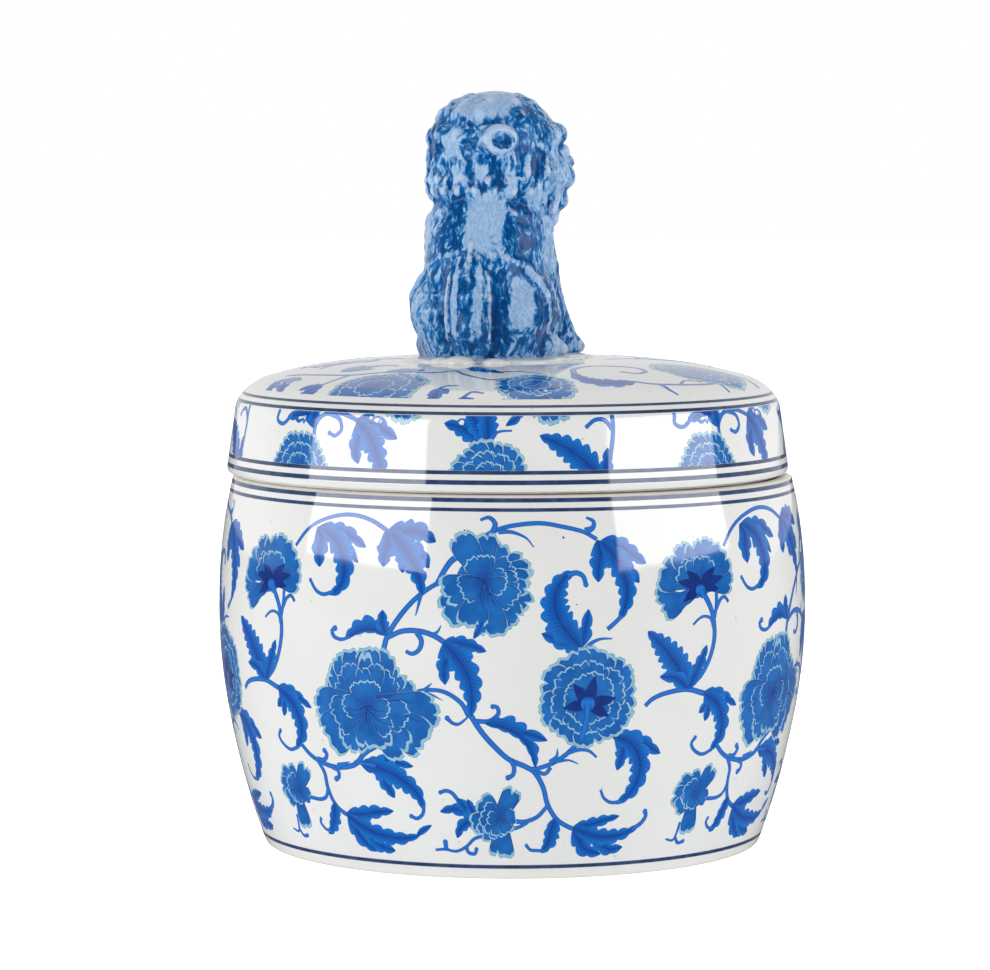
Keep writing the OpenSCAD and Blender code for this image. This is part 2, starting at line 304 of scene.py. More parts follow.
def small_leaves(d):
    d.lobe(3.6, 0.9, (-8, 47), (-2, 45.6), (2.8, 42.8), (5.4, 39), (7, 34), teeth=6)
    d.lobe(1.4, 1.4, (2.5, 44.5), (6.5, 43.4), (10.4, 41.9), teeth=1)
    d.lobe(0.8, 3.7, (-36.5, 71.5), (-41, 72.9), (-45.5, 72.4), (-50.6, 69.8), teeth=4)
    d.lobe(1.7, 1.9, (-37.2, 71.8), (-38.3, 75), (-38.2, 78.8), teeth=2)
    d.stem(0.9, 1.4, (-49, 70.5), (-52, 69.6), (-54.6, 70.3), (-55.3, 71.9), (-54.2, 72.7), knob=True)
    d.lobe(3.0, 1.7, (13.6, 18.8), (12.4, 15), (11.6, 11.6), (9.6, 8.2), teeth=4)
    d.stem(1.0, 1.0, (10.6, 8.8), (8, 9), (6, 9.2), (4.7, 10.5), knob=True)
    d.lobe(2.7, 1.5, (-60.8, 20.8), (-62.3, 16.8), (-64, 13.4), (-66.6, 10.6), teeth=4)
    d.stem(1.0, 1.0, (-65, 11.6), (-67.6, 12), (-69.3, 13.8), (-68.8, 15), knob=True)


def toothed_leaf(d):
    d.lobe(4.0, 4.2, (54.4, 55), (51, 61), (46.6, 66.4), (40.2, 72.6), teeth=8)
    d.lobe(2.0, 2.1, (54.6, 55), (57, 59.6), (59, 63.4), (60.9, 67.4), teeth=4)
    d.lobe(1.9, 2.1, (54.4, 55.2), (50.6, 58.2), (47.6, 59), (44.4, 59.2), teeth=2)


def side_leaf(d):
    d.lobe(1.8, 1.9, (-79.5, 53.4), (-74, 52.9), (-70, 51.4), (-64.8, 48.6), teeth=4)
    d.lobe(1.5, 1.7, (-78.8, 53), (-77.4, 50.4), (-80.4, 47.6), teeth=2)
    d.lobe(1.3, 1.5, (-77.4, 51), (-76.8, 48.4), (-77.8, 45), teeth=2)
    d.lobe(3.1, 3.2, (-79, 53.2), (-73.5, 50), (-70.5, 45), (-70.6, 40), (-74, 35.8), teeth=6)
    d.stem(1.1, 1.1, (-73, 36.3), (-77, 35.1), (-80.4, 36.5), (-82, 38.6), (-80.8, 40.4), knob=True)


def right_leaf(d):
    d.lobe(2.5, 2.9, (30, 42.7), (36.5, 41.6), (41, 39.8), (46.6, 36.6), teeth=4)
    d.lobe(2.3, 2.4, (31, 42.6), (34, 39.6), (33.6, 36.4), (32.4, 32.4), teeth=3)
    d.lobe(3.3, 3.3, (30.4, 42.7), (36, 40.4), (39.4, 36), (40, 31), (38, 26), (33.4, 22.2), teeth=7)
    d.stem(1.2, 0.8, (35, 23), (31.6, 22.8), (29, 24.2), (27.6, 26.8))


def lower_leaves(d):
    d.lobe(1.8, 2.1, (-47, 33.5), (-41, 34.5), (-36, 34.6), (-30.4, 33.6), teeth=4)
    d.lobe(2.2, 2.3, (-42.4, 33.2), (-40.8, 29.6), (-39.2, 26.6), (-37.6, 23.8), teeth=3)
    d.lobe(3.1, 3.4, (-48.4, 33.5), (-41, 32.4), (-35, 29.8), (-30, 25.8), (-27.8, 20.6), teeth=7)
    d.stem(1.1, 1.2, (-28, 22), (-28.6, 19.5), (-30.6, 18), (-32.6, 18.6), knob=True)
    d.stem(1.1, 1.1, (-50.5, 33.7), (-46, 33.4), (-43, 33))
    d.lobe(2.4, 2.0, (-57, 17.4), (-50, 18), (-45, 19), (-38.6, 19.8), teeth=4)
    d.lobe(2.5, 2.6, (-56.5, 17), (-53.2, 12), (-51, 9.6), (-46.8, 7), teeth=3)
    d.lobe(2.2, 2.3, (-51, 13.6), (-47.2, 10.2), (-44.5, 8.6), (-40, 7.6), teeth=3)
    d.lobe(2.5, 2.6, (-57, 17.4), (-50, 13.8), (-44, 12.2), (-37, 11.6), (-30.4, 12.8), teeth=6)
    d.lobe(0.8, 0.8, (-31.6, 12.6), (-29.4, 14.3), (-26, 16.2), teeth=1)
    d.lobe(1.8, 1.6, (19.4, 15.6), (26, 16.6), (30, 17.6), (34.8, 18.6), teeth=4)
    d.lobe(2.3, 2.5, (19.6, 15.4), (22.2, 11.5), (24.4, 9), (29.8, 7.2), teeth=3)
    d.lobe(2.0, 2.1, (26, 13), (30, 10), (33, 8.6), (37.4, 9), teeth=3)
    d.lobe(2.3, 2.4, (19.4, 15.6), (27, 13), (33, 12.5), (38, 13.4), (42.4, 15.4), teeth=6)
    d.stem(1.4, 1.4, (40, 14.2), (43, 16), (44.3, 18), (43.8, 19.4), knob=True)


def bud_leaf(d):
    d.stem(1.3, 1.1, (-16.6, 23.6), (-18.4, 26), (-20.4, 26.8), (-22.3, 26.2), knob=True)
    d.lobe(1.7, 1.8, (-10.6, 18.8), (-15, 20.6), (-18.5, 21.4), (-22.8, 20.4), teeth=3)
    d.lobe(1.7, 1.9, (-11, 19), (-14.6, 17.2), (-16.6, 15.4), (-17.8, 12.6), teeth=3)
    d.lobe(1.9, 2.0, (-11, 19), (-14.6, 21.8), (-17, 24.6), teeth=2)
    d.lobe(1.4, 1.5, (-11.4, 19.4), (-13, 21.8), (-13.8, 24.4), teeth=2)


def carnation(d, x=-81, y=85.5):
    """Seen from behind and below, with its calyx towards the viewer."""
    d.bed(x - 3.5, y + 1, 9, 5.5)
    d.petals(x, y, ((202, 16, 15), (165, 15, 16), (129, 13.2, 15), (102, 12.2, 11), (78, 13, 13), (3, 12.8, 18),
                    (38, 13.6, 17)), band=0.75, hair=True)
    d.petals(x, y, ((150, 9.4, 20), (118, 8, 16), (88, 8, 18), (58, 8, 16)), band=0.6)
    for a, length in ((172, 8.5), (215, 8), (140, 6.5), (40, 7.5), (12, 9), (-14, 7)):
        d.sepal(x, y - 0.5, a, length, 1.4)
    d.disc(x - 0.3, y - 2, 1.7)
    d.stem(2.2, 1.8, (x - 0.2, y - 2), (x + 1, y - 4.2))


def peony(d, x=-44, y=51):
    """The large open flower: a tall ribbed crown over broad lower petals."""
    d.bed(x + 1, y - 1, 14, 9.5)
    d.petals(x, y, ((25, 16.4, 9), (156, 15.8, 9), (140, 16, 11), (47, 15.6, 14), (122, 16.4, 10), (68, 17, 12),
                    (104, 16.8, 10), (86, 16.8, 8)), hair=True)
    d.petal(x, y, 90, 15.5, 1.6, band=2.0)
    d.petals(x, y, ((147, 12.4, 16), (48, 12.8, 15), (118, 13.2, 8), (70, 12.6, 8),
                    (96, 11.2, 7)), band=0.5, pitch=1.5)
    d.petals(x, y, ((355, 22.0, 12), (186, 18.6, 15), (331, 21.0, 12), (216, 19.6, 15), (309, 17.6, 14),
                    (240, 15.4, 16), (278, 13.0, 26)), band=1.0, hair=True)
    d.petals(x, y, ((345, 13.4, 17), (200, 13.2, 24), (312, 10.6, 12), (95, 7.4, 46), (186, 8.6, 22),
                    (352, 7.4, 22)), band=0.6, pitch=1.5)
    d.crease((x, y), (x - 0.5, y - 4), (x + 0.7, y - 9))
    d.crease((x, y - 1), (x + 4, y - 4.6), (x + 8, y - 5.6))
    d.crease((x, y), (x - 3, y - 1.6), (x - 7, y - 1.6))
    d.crease((x + 6, y + 1.5), (x + 11, y + 2), (x + 15, y + 1.4))
    d.crease((x + 12, y - 2.2), (x + 16, y - 3.8), (x + 19, y - 4))
    d.crease((x + 0.4, y), (x + 3, y - 1.4), (x + 6, y - 1.6))


def turned_peony(d, x=-8, y=88):
    """The same flower turned so that its crown faces right."""
    d.bed(x + 0.5, y - 1.5, 9, 9)
    d.petals(x, y, ((332, 15, 6), (49, 11, 9), (29, 13.4, 8), (16, 13.8, 7), (2, 13, 8), (349, 12.4, 6),
                    (308, 15.2, 10), (279, 16, 12), (65, 11.4, 14), (93, 13.4, 14)), hair=True)
    d.petals(x, y, ((28, 9.6, 18), (357, 9.8, 16), (326, 11, 15), (14, 6.6, 20)), band=0.5, pitch=1.4)
    d.petals(x, y, ((121, 14.8, 12), (222, 15.6, 15), (253, 14, 14), (197, 12.8, 17)), band=0.95, hair=True)
    d.petals(x, y, ((108, 7.4, 40), (206, 7.8, 30), (340, 6.6, 24)), band=0.55, pitch=1.4)
    d.crease((x, y), (x - 3, y + 0.8), (x - 6, y + 0.5))
    d.crease((x, y), (x - 1, y - 5), (x + 0.5, y - 9))
    d.crease((x, y), (x + 2.6, y - 6), (x + 5, y - 8.4))
    d.lobe(0.9, 0.9, (x - 0.4, y - 11.5), (x - 1.4, y - 14), (x - 3, y - 16.6), teeth=1)


def round_flower(d, x=22.3, y=54.2):
    """Seen from behind: three rings of scalloped petals round a dark six-leaved calyx."""
    d.petals(x, y, ((0, 14.6, 24), (40, 14.6, 23), (80, 14.2, 23), (120, 14.4, 23), (160, 14.6, 23),
                    (200, 14.6, 23), (240, 14.2, 23), (280, 14.2, 23), (320, 14.4, 23)), band=0.75, hair=True)
    d.petals(x, y, ((22, 11.4, 30), (84, 10.6, 28), (140, 11.2, 27), (196, 11.4, 28), (252, 10.8, 27),
                    (312, 11, 30)), band=0.6, pitch=1.7)
    d.petals(x, y, ((50, 8, 32), (118, 7.2, 34), (196, 7.6, 38), (270, 8, 32),
                    (338, 7.8, 34)), band=0.55, pitch=1.7)
    for a, length in ((78, 8.2), (10, 8.4), (-32, 7.4), (128, 7.4), (188, 7.6)):
        d.sepal(x, y - 1.8, a, length, 1.55)
    d.disc(x - 0.2, y - 1.8, 2.1)
    d.stem(2.1, 1.6, (x - 0.2, y - 2), (x - 0.5, y - 7), (x - 1.8, y - 12.2))


def low_flower(d, x=-3.5, y=18.5):
    d.bed(x - 1.5, y, 4.5, 4.5)
    d.petals(x, y, ((137, 8.8, 20), (190, 9.6, 17), (216, 8.6, 18)), band=0.6, hair=True)
    d.petal(x + 0.3, y - 2.4, 268, 9.2, 16, band=1.0, hair=True, root=2.2)
    d.petal(x - 0.5, y + 0.5, 61, 10, 8, band=0.7, hair=True, root=2.0)
    d.petals(x, y, ((150, 6.8, 24), (200, 7, 22), (228, 6.6, 22), (258, 5.6, 24), (170, 4.6, 26)), band=0.55)
    d.petal(x, y - 0.4, 0, 5, 48, band=0.25)
    d.petal(x, y, 300, 4.8, 28, band=0.5)


def bud_flower(d, x=-77, y=23):
    d.bed(x - 1, y - 0.5, 5, 4)
    d.petals(x, y, ((113, 8, 20), (146, 8.8, 17), (178, 9.4, 17), (208, 8.4, 17)), band=0.55, hair=True)
    d.petal(x - 0.9, y - 2.4, 273, 9.2, 12, band=0.9, hair=True, root=2.0)
    d.petal(x, y, 52, 10, 8, band=0.7, hair=True, root=2.0)
    d.petals(x, y, ((125, 5.6, 24), (170, 6.2, 24), (212, 5.6, 24), (250, 4.6, 26)), band=0.5)
    d.petal(x, y, 342, 6, 24, band=0.25)


def glaze_specks(d):
    """Stray dots of print, such as the photograph shows."""
    for x, y, r in ((15, 100, 0.32), (-14, 102, 0.26), (18.5, 81, 0.2), (-50, 13, 0.18)):
        d.disc(x, y, r, kind=DARK)


def wall_motif(d):
    for part in (top_vines, flower_stems, main_stem, low_stems, hanging_leaf_one, hanging_leaf_two, drooping_leaf,
                 feather_leaf, branch_leaf, small_leaves, toothed_leaf, side_leaf, right_leaf, lower_leaves,
                 bud_leaf, carnation, peony, turned_peony, round_flower, low_flower, bud_flower, glaze_specks):
        part(d)


# ---- the motif of the lid's side band, cut by the printed lines above and below it ----

def half_flower(d, x, y):
    """The upper half of a flower that rises from the band's lower lines."""
    for a in range(8, 180, 27):
        d.petal(x, y, a, 11.6, 15, band=0.7, hair=True)
    for a in range(20, 180, 28):
        d.petal(x, y, a, 8.6, 15, band=0.6)
    for a in range(5, 190, 34):
        d.petal(x, y, a, 5.6, 18, band=0.55)


def band_motif(d):
    d.stem(1.2, 1.3, (-61.5, 126), (-61.8, 130), (-59, 133.4), (-53, 134.2), (-48, 133), (-44, 131.4))
    d.stem(1.3, 1.1, (-57, 134), (-52.8, 132.6), (-51.6, 129.6), (-53.8, 127.7), (-56, 128.4), knob=True)
    d.lobe(2.6, 2.4, (-61.6, 129.5), (-65, 133.4), (-74.5, 132.4), teeth=4)
    d.lobe(2.0, 2.0, (-62, 130), (-62.5, 134), (-61, 139), teeth=3)
    d.stem(1.2, 1.2, (-72.5, 133), (-76.4, 130.2), (-79.6, 131.2), (-79.4, 133.6), knob=True)
    d.lobe(2.6, 2.8, (-46.5, 132.4), (-41.5, 131.8), (-38, 130.4), (-32.6, 127.4), teeth=3)
    d.lobe(2.6, 2.6, (-46, 132), (-45, 128), (-46, 124), (-44.8, 120), teeth=3)
    d.lobe(3.3, 3.4, (-46.5, 132.4), (-41.5, 128), (-38.4, 122), (-36, 115), teeth=6)
    for tip in ((-18.4, 132.2), (-12.6, 137.5), (-4.6, 137.5)):
        d.lobe(2.8, 2.8, (-5.4, 126.5), ((tip[0] - 6.6) / 2, (tip[1] + 129) / 2), tip, teeth=4)
    d.stem(1.0, 0.5, (-5.4, 127.4), (-2.6, 129.8), (1.4, 130.2))
    d.lobe(0.9, 1.0, (-0.4, 131.6), (2.6, 133.6), (6.4, 137), teeth=2)
    d.stem(1.3, 1.3, (31, 138), (31.4, 131), (30.4, 124), (28, 116))
    d.stem(1.3, 1.1, (31.2, 130), (29, 132.8), (26, 133), (23.4, 131.2), knob=True)
    d.lobe(3.7, 3.9, (27.6, 116), (22, 121.6), (16.4, 125.6), (9.4, 128.8), teeth=7)
    d.lobe(1.7, 1.8, (27.8, 117), (29, 121), (29.4, 125), teeth=2)
    half_flower(d, -67.6, 117)
    half_flower(d, -5, 116)
    for x in (-31, 13):
        for a in (238, 262, 286, 310):
            d.petal(x, 141, a, 9, 13, band=1.0, hair=True)


# ---- the motif of the lid's top: x and y from the lid's centre, with the front at -y ----

def spray(d, x, y, degrees, size=1.0):
    """A three-lobed leaf pointing along degrees."""
    a = math.radians(degrees)
    c, s = math.cos(a), math.sin(a)

    def at(u, v):
        return (x + size * (u * c - v * s), y + size * (u * s + v * c))

    d.lobe(2.4 * size, 2.4 * size, at(0, 0), at(5, 3.5), at(11, 6), teeth=3)
    d.lobe(2.4 * size, 2.4 * size, at(0, 0), at(5, -3.5), at(10, -7), teeth=3)
    d.lobe(3.0 * size, 3.0 * size, at(-1, 0), at(6, 0.6), at(12, 0), at(17, -2), teeth=6)
    d.stem(1.0, 1.0, at(15, -1), at(18.6, -3.4), at(18.8, -6.6), knob=True)


def crown_flower(d, x, y, degrees, size):
    """A round open flower seen from above."""
    d.bed(x, y, 0.8 * size, 0.8 * size)
    for a in range(-170, 180, 36):
        d.petal(x, y, degrees + a, size * (1.0 + 0.12 * math.cos(math.radians(a))), 21, band=1.0, hair=True)
    for a in range(-150, 180, 45):
        d.petal(x, y, degrees + a, size * 0.72, 22, band=0.7)
    for a in range(-140, 180, 60):
        d.petal(x, y, degrees + a, size * 0.42, 28, band=0.6)


def lid_motif(d):
    d.stem(1.2, 1.2, (-66, -20), (-61, -26), (-55, -34), (-46, -42.6), (-36, -45), (-29, -48), (-21, -51.6),
           (-15, -50))
    d.stem(1.2, 1.0, (-46, -42.6), (-50, -46), (-55, -50))
    d.stem(1.1, 0.8, (-15, -50), (-12, -57), (-5, -63.6), (0, -62))
    d.stem(1.0, 0.6, (-2, -53.6), (4, -53.2), (10, -56))
    d.stem(1.3, 0.9, (5.5, -76), (5.4, -79.4), (5.2, -82))
    d.stem(1.2, 1.1, (36, -57), (42.4, -56.4), (51, -51.4), (58.6, -44), (62.6, -37))
    d.stem(2.0, 0.7, (44.5, -55.6), (46.4, -58.6), (49.4, -60))
    d.stem(1.0, 0.6, (50.4, -51.6), (52, -45.4), (57, -42.6))
    d.stem(1.1, 0.8, (61.6, -39), (64.4, -42), (67, -45))
    d.stem(1.1, 1.3, (62, -14), (68, -16), (73, -19), (77, -24))
    d.stem(1.9, 1.2, (19.4, -54), (19.4, -46), (23.6, -38.4), (31, -34.8), (38, -35.6), (40.6, -40.4), (38, -45.4),
           (33.6, -45.4), knob=True)
    d.lobe(3.4, 3.8, (37, -57), (32, -60.6), (26, -62), (21, -58.6), (19.2, -52.6), teeth=6)
    d.stem(1.2, 0.9, (30, -2), (40, 2), (50, 10), (56, 20))
    spray(d, -67, -27, -84, 0.85)
    spray(d, -54, -49, 196, 0.6)
    spray(d, -48.6, -34, 22, 0.8)
    spray(d, 41, 3, 52, 0.9)
    spray(d, 50, 10, -14, 0.7)
    d.lobe(2.6, 2.6, (-36, -45), (-30, -44), (-24, -47.6), teeth=4)
    d.lobe(2.4, 3.0, (-10, -43), (-8, -49), (-1, -55.4), teeth=4)
    for x, y, turn in ((-18.8, -69, 0), (-11.6, -75, 12), (-2.6, -79, 20)):
        a = math.radians(turn)
        d.lobe(1.9, 2.3, (x - 0.6, y - 0.8), (x - 1.4, y - 4), (x - 3.8, y - 7.6), teeth=3)
        d.lobe(1.3, 1.3, (x, y - 1.6), (x + 1.8, y - 4.8), teeth=2)
        d.stem(1.1, 0.6, (x - 0.8, y - 1.2), (x + 1.6, y + 0.8), (x + 5 * math.cos(a), y + 0.4 - 3 * math.sin(a)))
    crown_flower(d, -38.5, -60.6, -70, 14.6)
    crown_flower(d, 8, -68, -80, 11.4)
    crown_flower(d, 55, -26.4, -30, 14.4)

# ---- meshes ----

def new_object(name, vertices, faces, body, material, normals=None, tones=None):
    """A mesh object from arrays, in metres, riding on a body. normals and tones are given per corner."""
    mesh = bpy.data.meshes.new(name)
    vertices = np.asarray(vertices, float)
    corners = np.concatenate([np.asarray(f, np.int64).ravel() for f in faces])
    sizes = np.concatenate([np.full(len(f), np.asarray(f).shape[1]) for f in faces])
    starts = np.concatenate([[0], np.cumsum(sizes)[:-1]])
    mesh.vertices.add(len(vertices))
    mesh.vertices.foreach_set("co", (vertices * MM).astype(np.float32).ravel())
    mesh.loops.add(len(corners))
    mesh.loops.foreach_set("vertex_index", corners.astype(np.int32))
    mesh.polygons.add(len(sizes))
    mesh.polygons.foreach_set("loop_start", starts.astype(np.int32))
    mesh.polygons.foreach_set("use_smooth", np.ones(len(sizes), bool))
    mesh.update(calc_edges=True)
    mesh.validate()
    if tones is not None:
        layer = mesh.color_attributes.new("tone", "FLOAT_COLOR", "CORNER")
        layer.data.foreach_set("color", np.asarray(tones, np.float32).ravel())
    if normals is not None:
        mesh.normals_split_custom_set(np.asarray(normals, np.float32))
    mesh.materials.append(material)
    obj = bpy.data.objects.new(name, mesh)
    bpy.context.scene.collection.objects.link(obj)
    if body:
        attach(obj, body)
    return obj


def rounded(corner_list, steps=8):
    """A profile from corners (r, z, radius): each corner is replaced by an arc-like bend of that radius."""
    out = []
    n = len(corner_list)
    for i, (r, z, bend) in enumerate(corner_list):
        here = np.array([r, z], float)
        if bend <= 0 or i in (0, n - 1):
            out.append(here)
            continue
        before = np.array(corner_list[i - 1][:2], float) - here
        after = np.array(corner_list[i + 1][:2], float) - here
        a = here + before * min(1, bend / np.linalg.norm(before))
        b = here + after * min(1, bend / np.linalg.norm(after))
        for k in range(steps + 1):
            t = k / steps
            out.append(a * (1 - t) ** 2 + 2 * here * t * (1 - t) + b * t * t)
    return np.array(out)


def dense(profile, step):
    """The profile with no span longer than step."""
    out = [profile[0]]
    for a, b in zip(profile[:-1], profile[1:]):
        count = max(1, int(math.ceil(np.linalg.norm(b - a) / step)))
        out += [a + (b - a) * i / count for i in range(1, count + 1)]
    return np.array(out)


def lathe(profile):
    """Quads, or triangles at the axis, from a profile (r, z) turned about Z, with the clay on its left."""
    angle = np.arange(TURNS) * 2 * math.pi / TURNS
    vertices, index = [], []
    for r, z in profile:
        if r < 1e-6:
            index.append(np.full(TURNS, sum(len(v) for v in vertices)))
            vertices.append(np.array([[0, 0, z]]))
        else:
            index.append(sum(len(v) for v in vertices) + np.arange(TURNS))
            vertices.append(np.stack([r * np.sin(angle), -r * np.cos(angle), np.full(TURNS, z)], 1))
    quads, tris = [], []
    for low, high in zip(index, index[1:] + index[:1]):
        low_next, high_next = np.roll(low, -1), np.roll(high, -1)
        if low[0] == low[1] and high[0] == high[1]:
            continue
        if low[0] == low[1]:
            tris.append(np.stack([low, high_next, high], 1))
        elif high[0] == high[1]:
            tris.append(np.stack([low, low_next, high], 1))
        else:
            quads.append(np.stack([low, low_next, high_next, high], 1))
    faces = [np.vstack(quads)] if quads else []
    if tris:
        faces.append(np.vstack(tris))
    return np.vstack(vertices), faces


# ---- profiles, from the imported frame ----

jar_high = np.array(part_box("jar_body")[1]) / MM
dome_low, dome_high = (np.array(c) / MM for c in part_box("lid_dome"))
flange_low, flange_high = (np.array(c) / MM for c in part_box("lid_flange"))
SKIN = 0.08          # the glaze skin lies this far inside the frame's surface
PRINT_UP = 0.05      # the print stands this far above the glaze skin
PRINT_IN = 0.05      # and is sunk this far into it
JAR_H = jar_high[2]
BELLY_R = jar_high[0]
BELLY_Z = 0.625 * JAR_H
FOOT_R = BELLY_R - 14
RIM_R = BELLY_R - 4.5
WALL = 4.5
FLOOR_Z = 6.5
LID_X = (dome_low[0] + dome_high[0]) / 2
LID_TOP = dome_high[2]
LIP_R = (dome_high[0] - dome_low[0]) / 2
LIP_Z = dome_low[2] + 0.6
SHOULDER_R = LIP_R - 2.75
SHOULDER_Z = JAR_H + 20
FLAT_R, DOME_R, DOME_DROP, DOME_POWER = 34.0, 74.0, 5.5, 2.1
LID_T = 4.0
FLANGE_R = (flange_high[0] - flange_low[0]) / 2
FLANGE_Z = flange_low[2]
TURNS = 360          # steps round every turned shape
WALL_R = 89.0        # the sheet of the wall's motif is rolled to this radius
BAND_R = 84.0        # and that of the lid's band to this one
TOP_EDGE = 78.0      # the print on the lid's top ends at this radius
# Lowest and highest edge of each print, the spacing of the points that follow the curved glaze, and the
# heights below and above which the jar's clay is bare
WALL_PRINT_Z, BAND_PRINT_Z = (5.2, 106.8), (118.9, 134.3)
WALL_GRID, BAND_GRID, TOP_GRID = 2.6, 2.4, 1.7
BARE_FOOT, BARE_RIM = 0.5, JAR_H - 0.8
# Printed border lines: name, height and width
JAR_LINES = (("rim_outer", 110.5, 1.2), ("rim_inner", 107.8, 1.0), ("foot", 4.0, 1.1))
LID_LINES = (("lip_outer", 115.5, 1.3), ("lip_inner", 118.3, 1.1), ("shoulder_outer", 134.9, 1.0),
             ("shoulder_inner", 136.9, 0.9))


def jar_radius(z):
    """The outside of the glaze on the barrel wall, at a height."""
    z = np.asarray(z, float)
    low = BELLY_R - (BELLY_R - FOOT_R) * (np.clip(BELLY_Z - z, 0, None) / BELLY_Z) ** 1.8
    high = BELLY_R - (BELLY_R - RIM_R) * (np.clip(z - BELLY_Z, 0, None) / (JAR_H - BELLY_Z)) ** 2.3
    return np.where(z < BELLY_Z, low, high) - SKIN


def dome_height(r):
    """The outside of the glaze on the lid's dome, at a radius."""
    r = np.asarray(r, float)
    return LID_TOP - SKIN - DOME_DROP * (np.clip(r - FLAT_R, 0, None) / (DOME_R - FLAT_R)) ** DOME_POWER


def jar_profile():
    """Outside from the foot up, over the rim, down the inside, and out again under the floor."""
    up = [(float(jar_radius(z)), z) for z in np.linspace(2.2, JAR_H - 1.8, 80)]
    down = [(float(jar_radius(z)) - WALL, z) for z in np.linspace(JAR_H - 4, FLOOR_Z + 13, 40)]
    rim = rounded([(*up[-1], 0), (RIM_R - 0.1, JAR_H - 0.12, 1.6), (RIM_R - WALL + 0.3, JAR_H - 0.12, 1.6),
                   (*down[0], 0)])
    cove = rounded([(*down[-1], 0), (float(jar_radius(FLOOR_Z)) - WALL - 1, FLOOR_Z, 14),
                    (FOOT_R - 26, FLOOR_Z, 0)], 14)
    foot = rounded([(0, 2.5, 0), (FOOT_R - 9, 2.5, 1.2), (FOOT_R - 7.6, 0.05, 1.0), (FOOT_R - 0.3, 0.05, 1.4),
                    (*up[0], 0)])
    return np.vstack([up, rim[1:-1], down, cove[1:], [(0, FLOOR_Z)], foot[:-1]])


def lid_profile():
    """The lid's outside from under the lip, over the shoulder to the middle of the dome."""
    t = np.linspace(0, 1, 30)[:, None]
    a = np.array([SHOULDER_R - SKIN, SHOULDER_Z])
    b = np.array([LIP_R - 3.7 - SKIN, LID_TOP - 8.9])
    c = np.array([DOME_R, float(dome_height(DOME_R))])
    shoulder = a * (1 - t) ** 2 + 2 * b * t * (1 - t) + c * t * t
    lip = rounded([(LIP_R - 3, LIP_Z, 0), (LIP_R - SKIN, LIP_Z, 2.2), (*a, 0)], 10)
    dome = [(r, float(dome_height(r))) for r in np.linspace(DOME_R - 1, 0, 60)]
    return np.vstack([lip[:-1], shoulder, dome])


JAR = jar_profile()
LID = lid_profile()
LID_RUN = np.concatenate([[0], np.cumsum(np.linalg.norm(np.diff(LID, axis=0), axis=1))])


def lid_full_profile():
    """The lid's outside, and back under the dome and down the inside of its wall."""
    inner = [(r, float(dome_height(r + LID_T * 0.6)) - LID_T) for r in np.linspace(0, DOME_R - LID_T, 40)]
    r_in = SHOULDER_R - LID_T - 0.6
    wall = rounded([inner[-1] + (0,), (r_in - 0.6, SHOULDER_Z + 2, 5), (r_in, JAR_H + 8, 4),
                    (FLANGE_R - LID_T + 0.1, JAR_H + 3, 3), (FLANGE_R - LID_T + 0.1, JAR_H + 0.05, 0),
                    (RIM_R - 2.4, JAR_H + 0.05, 0), (RIM_R - 2.0, LIP_Z, 0), (*LID[0], 0)], 8)
    return np.vstack([LID, inner, wall[1:-1]])


# ---- printed films: the drawing is meshed flat, then laid on the glaze ----

class Wall:
    """Lays the flat sheet on the jar's wall: x goes round and y is the height."""
    turns = 4
    period = 2 * math.pi * WALL_R / turns
    edge = None

    @staticmethod
    def lay(x, y, lift):
        a = x / WALL_R
        r = jar_radius(y)
        slope = (jar_radius(y + 0.2) - jar_radius(y - 0.2)) / 0.4
        n = 1 / np.sqrt(1 + slope ** 2)
        normal = np.stack([np.sin(a) * n, -np.cos(a) * n, -slope * n], 1)
        return np.stack([r * np.sin(a), -r * np.cos(a), y], 1) + normal * lift, normal


def on_lid_profile(run, a, lift):
    """Points of the lid's outside at a length along its profile and an angle from the front."""
    r = np.interp(run, LID_RUN, LID[:, 0])
    z = np.interp(run, LID_RUN, LID[:, 1])
    dr = np.interp(run + 0.3, LID_RUN, LID[:, 0]) - np.interp(run - 0.3, LID_RUN, LID[:, 0])
    dz = np.interp(run + 0.3, LID_RUN, LID[:, 1]) - np.interp(run - 0.3, LID_RUN, LID[:, 1])
    length = np.sqrt(dr ** 2 + dz ** 2)
    nr, nz = dz / length, -dr / length
    normal = np.stack([np.sin(a) * nr, -np.cos(a) * nr, nz], 1)
    at = np.stack([r * np.sin(a), -r * np.cos(a), z], 1) + normal * lift
    at[:, 0] += LID_X
    return at, normal


class Band:
    """Lays the flat sheet on the lid's side: y is the height of its steep part."""
    turns = 4
    period = 2 * math.pi * BAND_R / turns
    edge = None

    @staticmethod
    def lay(x, y, lift):
        steep = slice(10, 41)
        run = np.interp(y, LID[steep, 1], LID_RUN[steep])
        return on_lid_profile(run, x / BAND_R, lift)


class Top:
    """Lays the flat sheet on the lid's dome, seen from above."""
    turns = 1
    period = None
    around = np.linspace(0, 2 * math.pi, 181)[:-1]
    edge = TOP_EDGE * np.stack([np.cos(around), np.sin(around)], 1)

    @staticmethod
    def height(r):
        upper = LID[:, 1] > LID[:, 1][LID[:, 0].argmax()]
        order = np.argsort(LID[upper, 0])
        return np.interp(r, LID[upper, 0][order], LID[upper, 1][order])

    @staticmethod
    def lay(x, y, lift):
        r = np.hypot(x, y)
        z = Top.height(r)
        slope = (Top.height(r + 0.3) - Top.height(np.maximum(r - 0.3, 0))) / 0.6
        n = 1 / np.sqrt(1 + slope ** 2)
        safe = np.maximum(r, 1e-6)
        normal = np.stack([-slope * x / safe * n, -slope * y / safe * n, n], 1)
        return np.stack([x + LID_X, y, z], 1) + normal * lift, normal


